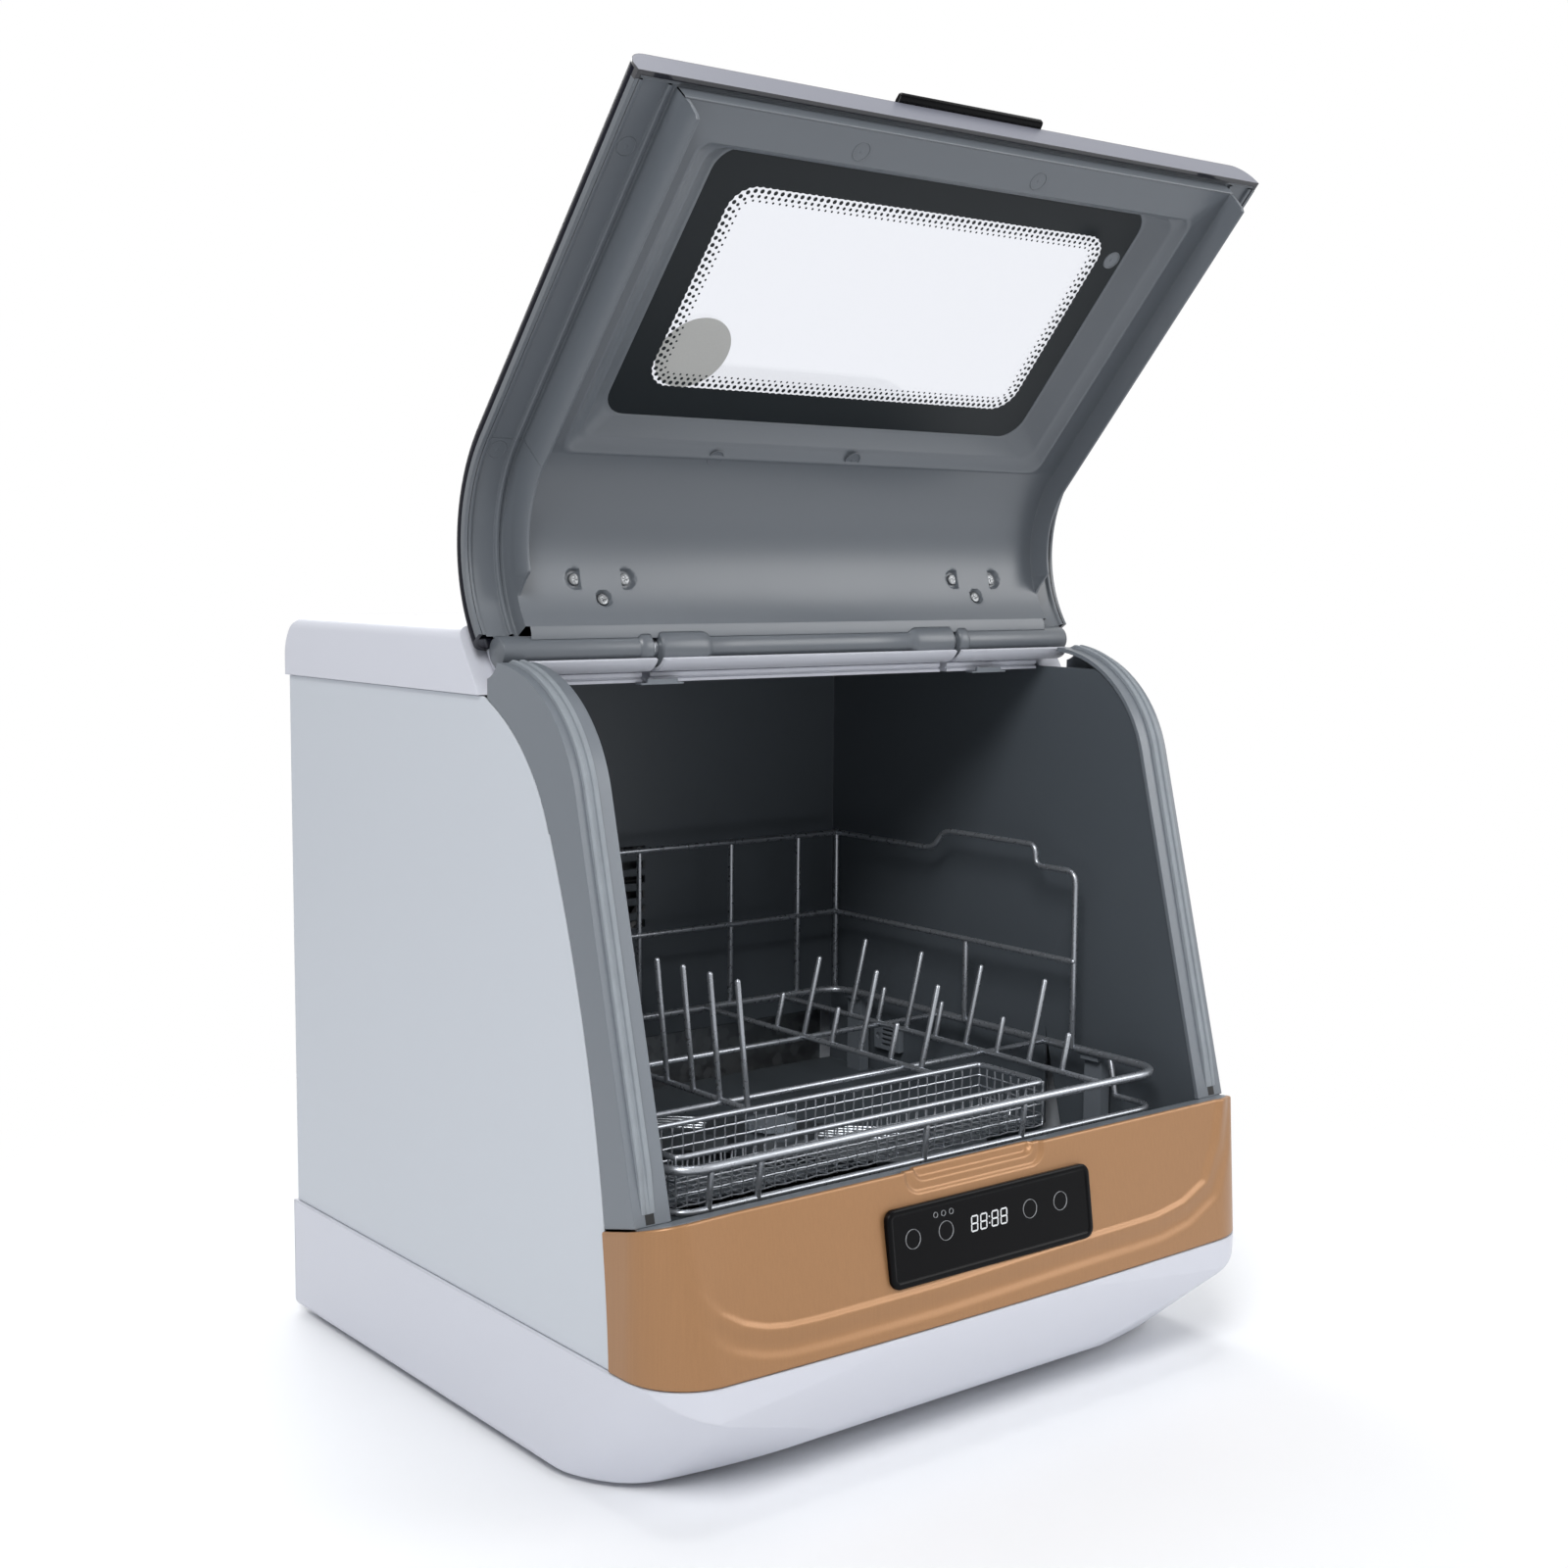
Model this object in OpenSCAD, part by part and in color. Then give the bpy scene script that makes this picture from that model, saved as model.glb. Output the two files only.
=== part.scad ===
// Countertop dishwasher with a lift-up windowed lid, a wire dish rack and a rotating spray arm.
// Origin: on the surface it stands on, under the middle of the body. +X is to the right as a
// user faces it, the front faces -Y, +Z is up. The lid is drawn as it stands open.
// The lid is modelled closed on its rim and then swung about its hinge axis.

/* [Body] */
// Width over the base and the cap
body_w = 430; // [400:1:480]
// Depth from the bowed front to the back
body_d = 400; // [390:1:430]
// Height of the cap's top
body_h = 430; // [428:1:440]
// Height of the rubber feet
foot_h = 4; // [4:1:10]
// Height of the seam between the base and the side panels
seam_z = 72; // [66:1:80]
// Height of the cap's lower edge
cap_z = 395; // [390:1:398]
// How far the base and the cap stand proud of the side panels
sheet_step = 1.8; // [1:0.1:2.5]
// Wall thickness of the moulded white panels
wall = 2.6; // [2:0.1:3.2]
// Radius of the base's front corners in plan
base_corner_r = 36; // [24:1:44]
// How far the front bows out at its middle
front_bow = 3.3; // [1:0.1:6]
// Radius of the roll under the front of the base
base_roll_r = 72; // [66:1:80]
// Radius along the bottom side edges of the base
base_edge_r = 6; // [4:1:12]
// Radius of the lower front corners of the base
base_nose_r = 45; // [40:1:50]
// Radius of the sweep across the lower front of the base
base_sweep_r = 1112; // [1000:8:1400]
// Radius of the cap's rear upper edge
cap_rear_r = 24; // [10:1:30]
// Radius of the cap's upper side edges
cap_side_r = 7; // [4:1:9]

/* [Rim] */
// Height of the rim's lower end, where the front panel's top edge meets it
rim_z = 150; // [146:1:154]
// Distance of the rim's lower end in front of the middle
rim_front = 167.2; // [164:0.1:170]
// Lean of the straight rim from the vertical, in degrees
rim_lean = 14.15; // [13:0.05:15]
// Length of the straight rim
rim_len = 209; // [200:1:212]
// Radius of the rim's rounded top
rim_r = 79.2; // [76:0.1:82]
// Width of the rim's front face
rim_face = 21.2; // [20:0.1:22]
// Width of the grey strip on each side of the body
strip_w = 26; // [22:1:30]
// Wall thickness of the rim moulding
rim_wall = 2.4; // [2:0.1:3]
// Width of the seal ridge
seal_w = 8; // [5:0.5:10]
// Height of the seal ridge
seal_h = 2.2; // [1:0.1:2.5]

/* [Lid] */
// Thickness of the lid outside the rim
lid_t = 17; // [16:0.5:20]
// Wall of the lid's outer shell
lid_wall = 2.4; // [2:0.1:3]
// Radius along the lid's outer side edges
lid_edge_r = 11.6; // [8:0.1:13]
// How far the lid stands open at rest, in degrees
lid_open = 124.6; // [0:0.1:125]
// Height of the hinge axis below the top of the rim and the lid's skin
hinge_above_rim = 4.6; // [3.5:0.1:5.5]
// Distance of the hinge axis behind the crown of the rim
hinge_setback = 8.7; // [6:0.1:10]
// Radius of the rolled hinge edge
roll_r = 8; // [6:0.1:8.4]
// Radius of the knuckle bulges on the roll
knuckle_r = 10.2; // [9:0.1:10.3]
// Depth of the inner frame's pan below the rim plane
pan_depth = 6; // [4:0.5:8]
// Depth of the splash fins below the rim plane
fin_depth = 20; // [14:1:22]
// How far the splash fins run round the rim's rounded top, in degrees
fin_end = 56; // [40:1:60]
// Half spacing of the splash fins
fin_x = 190.5; // [188:0.5:190.5]
// Running gap between the lid and what it closes on
lid_gap = 1.2; // [0.8:0.1:2]
// Half width of the glass opening in the inner frame
glass_x = 151; // [140:1:154]
// Lower end of the glass opening, up the lid from its free end
glass_lo = 31; // [26:1:34]
// Upper end of the glass opening
glass_hi = 191; // [176:1:192]
// Corner radius of the glass opening
glass_r = 14; // [8:1:20]
// Thickness of the glass pane
pane_t = 3.2; // [3:0.1:4]

/* [Hinge] */
// Distance of each hinge arm from the middle
hinge_x = 110; // [100:1:120]
// Radius of the hinge pins
pin_r = 2.5; // [2:0.1:3]
// Radial running clearance of the pins in the lid
pin_clear = 0.06; // [0.02:0.01:0.1]
// Thickness of the hinge arms
arm_t = 3; // [2:0.1:3.4]

/* [Front panel] */
// How far the panel's top leans back from its foot
panel_lean = 11.6; // [8:0.1:13]
// Corner radius at the top of the panel
panel_top_r = 22; // [18:1:30]
// Wall of the front panel
panel_wall = 3; // [2.6:0.1:3.6]
// Width of the thumb recess
scoop_w = 100; // [80:1:108]
// Middle of the thumb recess, left of the panel's middle
scoop_x = -6; // [-8:1:8]
// Half width of the control plate
control_x = 74; // [66:1:80]
// Height of the control plate's lower edge
control_z = 95.5; // [92:0.5:98]
// Height of the control plate
control_h = 41; // [36:1:44]
// Thickness of the control plate
control_t = 4; // [3:0.5:5]

/* [Tub] */
// Half width of the tub
tub_x = 195; // [193:0.5:196]
// Wall of the tub
tub_wall = 2.2; // [1.8:0.1:2.6]
// Height of the tub floor at its edge
floor_z = 108; // [104:1:110]
// Distance of the tub's rear wall behind the middle
tub_back = 176; // [172:1:180]
// Distance of the tub's front wall ahead of the middle, at the floor
tub_front = 156; // [154:1:158]
// Radius of the round dish in the tub floor
dish_r = 92; // [80:1:100]
// Depth of the dish in the tub floor
dish_depth = 10; // [6:1:12]
// Radius of the sump well
sump_r = 40; // [34:1:44]

/* [Spray arm] */
// Reach of the spray arm
arm_reach = 130; // [115:1:134]
// Width of the spray arm at its tips
arm_tip_w = 40; // [30:1:44]
// Height of the spray arm's underside
spray_z = 115; // [113:0.5:118]
// Thickness of the spray arm
spray_t = 10; // [8:0.5:11]
// Angle of the spray arm at rest, in degrees
spray_turn = -48; // [-90:1:90]
// Distance of the arm's axis behind the middle
spray_y = 8; // [4:1:12]
// Radius of the riser tube the arm turns on
riser_r = 9; // [7:0.5:11]
// Radial running clearance of the arm on its riser
riser_clear = 0.08; // [0.03:0.01:0.1]

/* [Rack] */
// Half width of the rack
rack_x = 178; // [172:0.5:180]
// Front rail of the rack, ahead of the middle
rack_front = 151.5; // [148:0.5:152]
// Rear rail of the rack, behind the middle
rack_back = 150; // [140:1:156]
// Height of the rack's rail
rack_z = 165; // [160:0.5:166]
// Radius of the rail wire
rail_r = 2.4; // [2:0.1:2.6]
// Radius of the other wires
wire_r = 1.7; // [1.4:0.1:2]
// Radius of the tines
tine_r = 1.5; // [1.2:0.1:1.8]
// Pitch of the tines
tine_pitch = 27.6; // [24:0.1:30]
// Height of the rear and side frames' upper wire
rack_top = 276; // [260:1:280]
// Height of the lower rail
low_rail_z = 143; // [140:1:148]
// Length of the cutlery basket
basket_l = 260; // [220:1:264]
// Width of the cutlery basket
basket_w = 60; // [50:1:62]
// Depth of the cutlery basket
basket_d = 30; // [26:1:32]
// Height of the basket's rim
basket_z = 169; // [168:0.5:172]
// Pitch of the basket's mesh
mesh_pitch = 10; // [8:0.5:14]
// Thickness of the mesh wires
mesh_t = 1.2; // [1:0.1:1.6]

/* [Hidden] */
$fn = 96;
e = 0.01;
half_w = body_w / 2;
side_x = half_w - sheet_step;
back_y = body_d / 2;
front_y = -back_y + front_bow;
roll_y = base_roll_r - back_y + 0.2;
nose_tilt = 50;
nose_v = roll_y * cos(nose_tilt) + (foot_h + base_roll_r) * sin(nose_tilt) - base_roll_r - 4.7;
nose_x = half_w - base_nose_r;
nose_c = nose_v + base_sweep_r - sqrt(pow(base_sweep_r - base_nose_r, 2) - nose_x * nose_x);
lean_s = sin(rim_lean);
lean_c = cos(rim_lean);
rim_y = -rim_front;
crown_y = rim_y + rim_r * lean_c + rim_len * lean_s;
crown_c = rim_z - rim_r * lean_s + rim_len * lean_c;
crown_z = crown_c + rim_r;
arc_a = 90 - rim_lean;
hinge_y = crown_y + hinge_setback;
hinge_z = crown_z + hinge_above_rim;
tail_r = crown_z + lid_t - hinge_z;
notch_r = tail_r + 1.2;
tail_x = half_w - lid_edge_r - 0.5;
flange_x = side_x - rim_face;
lid_lo = -0.3;
sill_l = lid_lo - lid_gap;
glass_mid = (glass_lo + glass_hi) / 2;
glass_h = glass_hi - glass_lo;
roof_z = 398;
sump_x = -72;
sump_y = 62;
well_r = sump_r + 16;
sheet_t = 1;
panel_front = -147.4;
panel_bow_r = 781;
panel_crown_r = 109;
feet_x = half_w - 48;
bay_x = 62;
bay_z = 40;
pump_x = 62;
pump_y = 60;
pump_z = 54;
fan_z = 250;
arm_slot = arm_t + 1.6;
front_tilt = atan(panel_lean / 81.3);
control_y = front_y - 2 + panel_lean * (control_z + control_h / 2 - seam_z) / 81.3;

// Sweeps a side view (y, z) from one x to another.
module across(x0, x1) {
  translate([x0, 0, 0]) rotate([90, 0, 90]) linear_extrude(x1 - x0) children();
}

// Puts a piece on both sides.
module both() {
  children();
  mirror([1, 0, 0]) children();
}

// The frame of the leaning rim: local -y points outward, local z runs up the rim.
module rim_frame() {
  translate([0, rim_y, rim_z]) rotate([-rim_lean, 0, 0]) children();
}

// Sweeps a section given as (x, outward) up the straight rim.
module up_rim(l0, l1) {
  rim_frame() translate([0, 0, l0]) linear_extrude(l1 - l0) mirror([0, 1]) children();
}

// Sweeps a symmetric section given as (x, outward) round the rim's top.
module round_rim(a0, a1) {
  rim_frame() translate([0, rim_r, rim_len]) rotate([90, 0, -90]) rotate([0, 0, a0])
    rotate_extrude(angle = a1 - a0) translate([rim_r, 0]) mirror([1, -1, 0]) children();
}

// Swings a closed lid piece to where the lid stands open.
module opened() {
  translate([0, hinge_y, hinge_z]) rotate([-lid_open, 0, 0]) translate([0, -hinge_y, -hinge_z]) children();
}

// A circle about the hinge axis in the side view.
module about_hinge(r) {
  translate([hinge_y, hinge_z]) circle(r);
}

// A rectangle with round corners, given by its two half sizes.
module round_rect(hx, hy, r) {
  square([2 * hx, 2 * (hy - r)], center = true);
  square([2 * (hx - r), 2 * hy], center = true);
  for (sx = [-1, 1], sy = [-1, 1]) translate([sx * (hx - r), sy * (hy - r)]) circle(r);
}

// The side view of everything that lies behind the rim by a given inset.
module rim_side(inset) {
  translate([rim_y, rim_z]) rotate(-rim_lean) {
    translate([inset, -110]) square([rim_r - inset + 40, rim_len + 110]);
    translate([rim_r, rim_len]) circle(rim_r - inset);
  }
  translate([crown_y, 0]) square([back_y - crown_y, crown_z - inset - 0.02]);
}

// The side view of a painted side panel, grown by a given amount.
module panel_side(grow) {
  intersection() {
    translate([panel_front + panel_bow_r, 42.4]) circle(panel_bow_r + grow, $fn = 200);
    union() {
      translate([11, 293.3]) circle(panel_crown_r + grow);
      translate([-180, 0]) square([400, 330]);
      translate([11, 0]) square([200, 500]);
    }
    translate([-180, 0]) square([180 + back_y - 2.4 + grow, cap_z + 30]);
  }
}

// The plan outline of the base, drawn in by a given inset.
module base_plan(inset) {
  r = base_corner_r - inset;
  intersection() {
    union() {
      translate([-half_w + inset, front_y + base_corner_r]) square([body_w - 2 * inset, body_d - front_bow - base_corner_r - inset]);
      translate([-half_w + base_corner_r, -back_y]) square([body_w - 2 * base_corner_r, back_y]);
      for (s = [-1, 1]) translate([s * (half_w - base_corner_r), front_y + base_corner_r]) circle(r);
    }
    translate([0, front_y - front_bow + inset + 4856]) circle(4856, $fn = 400);
  }
}

// The side view of the base, drawn in by a given inset.
module base_side(inset) {
  translate([roll_y, foot_h + inset]) square([back_y - roll_y - inset, seam_z - foot_h - inset]);
  intersection() {
    translate([roll_y, foot_h + base_roll_r]) circle(base_roll_r - inset, $fn = 128);
    translate([-220, foot_h]) square([200, seam_z - foot_h]);
  }
}

// The front view of the base, drawn in by a given inset.
module base_front(inset) {
  translate([-half_w + inset, foot_h + base_edge_r]) square([body_w - 2 * inset, seam_z - foot_h - base_edge_r]);
  translate([-half_w + base_edge_r, foot_h + inset]) square([body_w - 2 * base_edge_r, seam_z - foot_h - inset]);
  for (s = [-1, 1]) translate([s * (half_w - base_edge_r), foot_h + base_edge_r]) circle(base_edge_r - inset);
}

// The outline that rounds the lower front, seen along its slope, drawn in by a given inset.
module base_nose(inset) {
  e = nose_x * (base_sweep_r - inset) / (base_sweep_r - base_nose_r);
  translate([-half_w + inset, nose_c]) square([body_w - 2 * inset, 2 * back_y]);
  for (s = [-1, 1]) translate([s * nose_x, nose_c]) circle(base_nose_r - inset);
  intersection() {
    translate([0, nose_v + base_sweep_r]) circle(base_sweep_r - inset, $fn = 400);
    translate([-e, nose_v]) square([2 * e, nose_c - nose_v + 10]);
  }
}

module base_solid(inset) {
  intersection() {
    rotate([nose_tilt, 0, 0]) linear_extrude(900, center = true) base_nose(inset);
    linear_extrude(seam_z + inset) base_plan(inset);
    across(-half_w, half_w) base_side(inset);
    translate([0, back_y + 20, 0]) rotate([90, 0, 0]) linear_extrude(2 * back_y + 40) base_front(inset);
  }
}

// The moulded base, open at the top, with a connection bay in its back.
module base_tray() color([0.80, 0.82, 0.86]) {
  difference() {
    base_solid(0);
    difference() {
      base_solid(wall);
      translate([-bay_x - wall, back_y - 34 - wall, 0]) cube([2 * bay_x + 2 * wall, 60, bay_z + 22 + wall]);
    }
    translate([-bay_x, back_y - 34, bay_z - 20]) cube([2 * bay_x, 60, 42]);
    translate([-30, back_y - 60, bay_z]) rotate([-90, 0, 0]) cylinder(r = 10.4, h = 60);
    translate([12, back_y - 60, bay_z]) rotate([-90, 0, 0]) cylinder(r = 8.4, h = 60);
    for (i = [0 : 11]) translate([-66 + 12 * i - 2, -60, 0]) cube([4, 90, 20]);
  }
}

// The soft feet.
module rubber_feet() color([0.12, 0.12, 0.13]) {
  for (sx = [-1, 1], y = [-118, 168]) translate([sx * feet_x, y, 0]) difference() {
    union() {
      cylinder(r = 13, h = 3);
      translate([0, 0, 3]) cylinder(r1 = 13, r2 = 11, h = foot_h - 3);
    }
    translate([0, 0, -1]) cylinder(r = 4, h = 4);
  }
}

// One painted side panel, with a folded rear edge.
module side_panel() {
  across(side_x - sheet_t, side_x) intersection() {
    panel_side(0);
    translate([-180, seam_z + 0.4]) square([400, cap_z - seam_z - 0.8]);
  }
  translate([side_x - 12, back_y - 3.4, seam_z + 0.4]) cube([12, sheet_t, cap_z - seam_z - 8]);
}

module side_panel_left() color([0.79, 0.82, 0.85]) {
  mirror([1, 0, 0]) side_panel();
}

module side_panel_right() color([0.79, 0.82, 0.85]) {
  side_panel();
}

// The sheet across the back, with vents for the drying fan.
module back_panel() color([0.62, 0.64, 0.66]) {
  difference() {
    translate([-side_x + 1.6, back_y - 2, seam_z + 0.4]) cube([2 * side_x - 3.2, sheet_t, cap_z - seam_z - 0.8]);
    for (i = [0 : 6]) translate([-26, back_y - 4, fan_z - 26 + 8 * i]) cube([52, 4, 3.4]);
  }
}

// The side view of the cap, with the notch the lid's tail turns in.
module cap_side(inset) {
  slope = atan2(body_h - hinge_z, 8);
  difference() {
    union() {
      translate([hinge_y + inset, cap_z - inset]) square([back_y - cap_rear_r - hinge_y - inset, body_h - cap_z]);
      translate([hinge_y + inset, cap_z - inset]) square([back_y - hinge_y - 2 * inset, body_h - cap_z - cap_rear_r + inset]);
      intersection() {
        translate([back_y - cap_rear_r, body_h - cap_rear_r]) circle(cap_rear_r - inset);
        translate([back_y - cap_rear_r, cap_z - inset]) square(60);
      }
    }
    about_hinge(notch_r + inset);
    translate([hinge_y + 16.6 + inset, hinge_z - 0.5]) rotate(slope) translate([-40, 0]) square([80, 40]);
    translate([hinge_y - 30, hinge_z]) square([46.6 + inset, 0.5]);
  }
}

module cap_front(inset) {
  translate([-half_w + inset, 0]) square([body_w - 2 * inset, body_h - cap_side_r]);
  translate([-half_w + cap_side_r, 0]) square([body_w - 2 * cap_side_r, body_h - inset]);
  for (s = [-1, 1]) translate([s * (half_w - cap_side_r), body_h - cap_side_r]) circle(cap_side_r - inset);
}

module cap_solid(inset) {
  intersection() {
    across(-half_w + inset, half_w - inset) cap_side(inset);
    translate([0, back_y + 20, 0]) rotate([90, 0, 0]) linear_extrude(2 * back_y) cap_front(inset);
  }
}

// The moulded cap behind the lid.
module top_cap() color([0.84, 0.85, 0.88]) {
  difference() {
    cap_solid(0);
    cap_solid(wall);
    translate([-tub_x - 0.6, hinge_y - 6, cap_z - 6]) cube([2 * tub_x + 1.2, 28.9, 18.3]);
    both() translate([hinge_x - arm_slot / 2 - 0.4, hinge_y - 4, cap_z]) cube([arm_slot + 0.8, 40, hinge_z - cap_z + 3]);
  }
}

// The white lip under the hinge at the top of the opening.
module opening_lip() color([0.86, 0.87, 0.89]) {
  difference() {
    across(-190, 190) difference() {
      translate([hinge_y + 3.6, roof_z + 0.6]) square([19, 8.4]);
      about_hinge(notch_r);
      translate([hinge_y + 2, roof_z + 2.4]) square([3, 1.2]);
    }
    both() translate([hinge_x - arm_slot / 2 - 0.4, hinge_y - 4, cap_z]) cube([arm_slot + 0.8, 40, 30]);
  }
}

// Two grey clips that hold the lip.
module lip_clips() color([0.45, 0.48, 0.50]) {
  for (x = [-117, 129]) translate([x, hinge_y - 2.4, roof_z - 0.4]) {
    cube([28, 5.9, 1]);
    translate([4, 0, 1]) cube([20, 2, 2.2]);
  }
}

// The grey moulding round the opening: two rim legs, a sill and the side strips.
module front_frame() color([0.48, 0.51, 0.54]) {
  both() difference() {
    across(flange_x, side_x) difference() {
      rim_side(0);
      about_hinge(notch_r);
      translate([hinge_y - 3, 0]) square([300, 500]);
      translate([rim_y, rim_z]) rotate(-rim_lean) translate([-30, -200 + sill_l + 0.3]) square([200, 200]);
      panel_side(0.6);
    }
    across(flange_x - 1, side_x - rim_wall) difference() {
      rim_side(rim_wall);
      translate([rim_y, rim_z]) rotate(-rim_lean) translate([-30, -200 + sill_l + 3]) square([200, 200]);
    }
    across(flange_x - 1, tub_x + 0.4) rim_side(rim_wall + 0.4);
  }
  difference() {
    rim_frame() translate([0, 0, sill_l - 3]) linear_extrude(2.9) mirror([0, 1]) intersection() {
      union() {
        translate([-half_w + panel_top_r, -20]) square([body_w - 2 * panel_top_r, 34.4]);
        for (s = [-1, 1]) translate([s * (half_w - panel_top_r), -4.2]) circle(panel_top_r - 3.6);
      }
      translate([-half_w, -2.6]) square([body_w, 60]);
    }
    rim_frame() translate([scoop_x - scoop_w / 2 - 4, -40, sill_l - 5]) cube([scoop_w + 8, 35, 10]);
  }
  both() rim_frame() translate([flange_x + 1, 0.4, sill_l - 1]) cube([rim_face - 2.4, 1.7, 2.4]);
}

// The soft seal ridge on the rim.
module door_seal() color([0.38, 0.40, 0.42]) {
  both() {
    up_rim(5, rim_len) translate([200.4, 0]) square([seal_w, seal_h]);
    round_rim(0, arc_a - 8) translate([200.4, 0]) square([seal_w, seal_h]);
  }
}

// The coloured front panel, with a thumb recess under the lid's pull.
module panel_hull(inset) {
  hull() {
    for (s = [-1, 1]) translate([s * (half_w - base_corner_r), front_y + base_corner_r, seam_z - inset]) cylinder(r = base_corner_r - inset, h = 1, $fn = 64);
    for (x = [-120, -60, 0, 60, 120]) translate([x, front_y + 1 - front_bow * (1 - pow(x / 179, 2)) + inset, seam_z - inset]) cylinder(r = 1, h = 1, $fn = 16);
    for (s = [-1, 1]) translate([s * (half_w - panel_top_r), front_y + panel_lean + panel_top_r + 0.8, seam_z + 89]) cylinder(r = panel_top_r - inset, h = 1, $fn = 64);
    for (x = [-100, 0, 100]) translate([x, front_y + panel_lean + 1.8 - 0.8 * (1 - pow(x / 179, 2)) + inset, seam_z + 89]) cylinder(r = 1, h = 1, $fn = 16);
    for (s = [-1, 1]) translate([s * (half_w - 10) - 10 + inset, panel_front - 8, seam_z - inset]) cube([20 - 2 * inset, 30, 90 + inset]);
  }
}

module thumb_scoop(grow) {
  w = scoop_w / 2;
  rim_frame() translate([scoop_x, -8 + grow, sill_l]) rotate([90, 0, 0]) linear_extrude(40) {
    translate([-w - grow, -2 - grow]) square([2 * w + 2 * grow, 12]);
    translate([-w + 10 - grow, -12 - grow]) square([2 * w - 20 + 2 * grow, 14]);
    for (s = [-1, 1]) translate([s * (w - 10), -2]) circle(10 + grow);
  }
}

module front_panel() color([0.69, 0.51, 0.36]) {
  difference() {
    panel_hull(0);
    difference() {
      panel_hull(panel_wall);
      thumb_scoop(panel_wall);
    }
    thumb_scoop(0);
    rim_frame() translate([-240, -80, sill_l]) cube([480, 160, 40]);
    across(-240, 240) panel_side(0.8);
    translate([0, control_y, control_z + control_h / 2]) rotate([-front_tilt, 0, 0]) rotate([90, 0, 0]) linear_extrude(60, center = true)
      round_rect(control_x + 0.3, control_h / 2 + 0.3, 6);
    translate([-240, -220, 0]) cube([480, 240, seam_z + 0.4]);
  }
}

// The tub: floor, walls and roof, open towards the rim, with a well for the filter.
module tub_side(inset) {
  intersection() {
    union() {
      translate([rim_y, rim_z]) rotate(-rim_lean) translate([2.8, 0]) square([60, rim_len]);
      rim_side(2.8);
    }
    union() {
      translate([-tub_front - 8, rim_z - 6]) square([400, 400]);
      polygon([[-tub_front - 8 + inset, rim_z], [-tub_front - 8 + inset, rim_z - 7], [-tub_front + inset, floor_z - tub_wall + inset],
        [tub_back, floor_z - tub_wall + inset], [tub_back, rim_z]]);
    }
    translate([-190, floor_z - tub_wall + inset]) square([190 + tub_back + tub_wall - inset, roof_z + tub_wall - floor_z + tub_wall - 2 * inset]);
  }
}

module tub() color([0.55, 0.57, 0.59]) {
  difference() {
    union() {
      across(-tub_x, tub_x) difference() {
        tub_side(0);
        tub_side(tub_wall);
        translate([rim_y, rim_z]) rotate(-rim_lean) translate([-10, 0.4]) square([30, rim_len + 60]);
        translate([-120, roof_z - 60]) square([120 + hinge_y + 23, 100]);
      }
      both() across(tub_x - tub_wall, tub_x) difference() {
        tub_side(0);
        about_hinge(notch_r + 1);
      }
      translate([sump_x, sump_y, floor_z - 9]) cylinder(r = well_r + 2, h = 8);
      translate([0, 0, floor_z - 1]) cylinder(r = 22, h = 4);
    }
    translate([sump_x, sump_y, floor_z - 7]) cylinder(r = well_r, h = 40);
    translate([sump_x, sump_y, 0]) cylinder(r = sump_r - 2, h = 200);
    translate([0, 0, 0]) cylinder(r = riser_r - 2.4, h = 200);
    translate([-30, tub_back - 5, fan_z - 30]) for (i = [0 : 5]) translate([0, 0, 10 * i]) cube([60, 10, 5]);
  }
}

// The section of the lid's outer shell, drawn in by a given inset.
module shell_section(inset) {
  r = lid_edge_r;
  translate([-half_w + inset, lid_gap - inset]) square([body_w - 2 * inset, lid_t - r - lid_gap + inset]);
  translate([-half_w + r, lid_gap - inset]) square([body_w - 2 * r, lid_t - lid_gap]);
  intersection() {
    for (s = [-1, 1]) translate([s * (half_w - r), lid_t - r]) circle(r - inset);
    translate([-half_w, lid_t - r]) square([body_w, r]);
  }
}

module shell_skin() {
  difference() {
    shell_section(0);
    shell_section(lid_wall);
  }
}

module window_cut(grow, r) {
  rim_frame() translate([0, 0, glass_mid]) rotate([90, 0, 0]) linear_extrude(60, center = true)
    round_rect(glass_x - 6 + grow, glass_h / 2 - 6 + grow, r);
}

// The glossy outer shell of the lid, closed at its free end and rounded in at the hinge.
module lid_shell() color([0.07, 0.08, 0.11]) opened() {
  difference() {
    union() {
      up_rim(lid_lo, lid_lo + lid_wall) shell_section(0);
      up_rim(lid_lo + 1, rim_len) shell_skin();
      rim_frame() translate([0, -9.8, glass_mid]) rotate([90, 0, 0]) linear_extrude(lid_t - 10.2)
        round_rect(glass_x - 6 + lid_wall, glass_h / 2 - 6 + lid_wall, 12);
      round_rim(0, arc_a) shell_skin();
      both() round_rim(arc_a - 2, arc_a - 0.1) intersection() {
        shell_section(0.4);
        translate([tail_x - 2, 5.8]) square([lid_edge_r + 3, lid_t]);
      }
    }
    window_cut(0, 10);
  }
}

// The strip that closes the lid's hinge end and turns in the cap's notch.
module hinge_cover() color([0.10, 0.11, 0.12]) opened() {
  difference() {
    across(-tail_x, tail_x) difference() {
      union() {
        translate([crown_y + 0.2, hinge_z]) square([hinge_setback, tail_r]);
        about_hinge(tail_r);
      }
      about_hinge(tail_r - 2);
      translate([crown_y - 10, hinge_z - 30]) square([hinge_setback + 9.8, 30 + tail_r - lid_wall]);
      translate([hinge_y, hinge_z]) rotate(-30) translate([-40, -40]) square([80, 40]);
    }
    both() translate([hinge_x - arm_slot / 2, crown_y - 1, hinge_z - 20]) cube([arm_slot, 40, 40]);
  }
}

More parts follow.
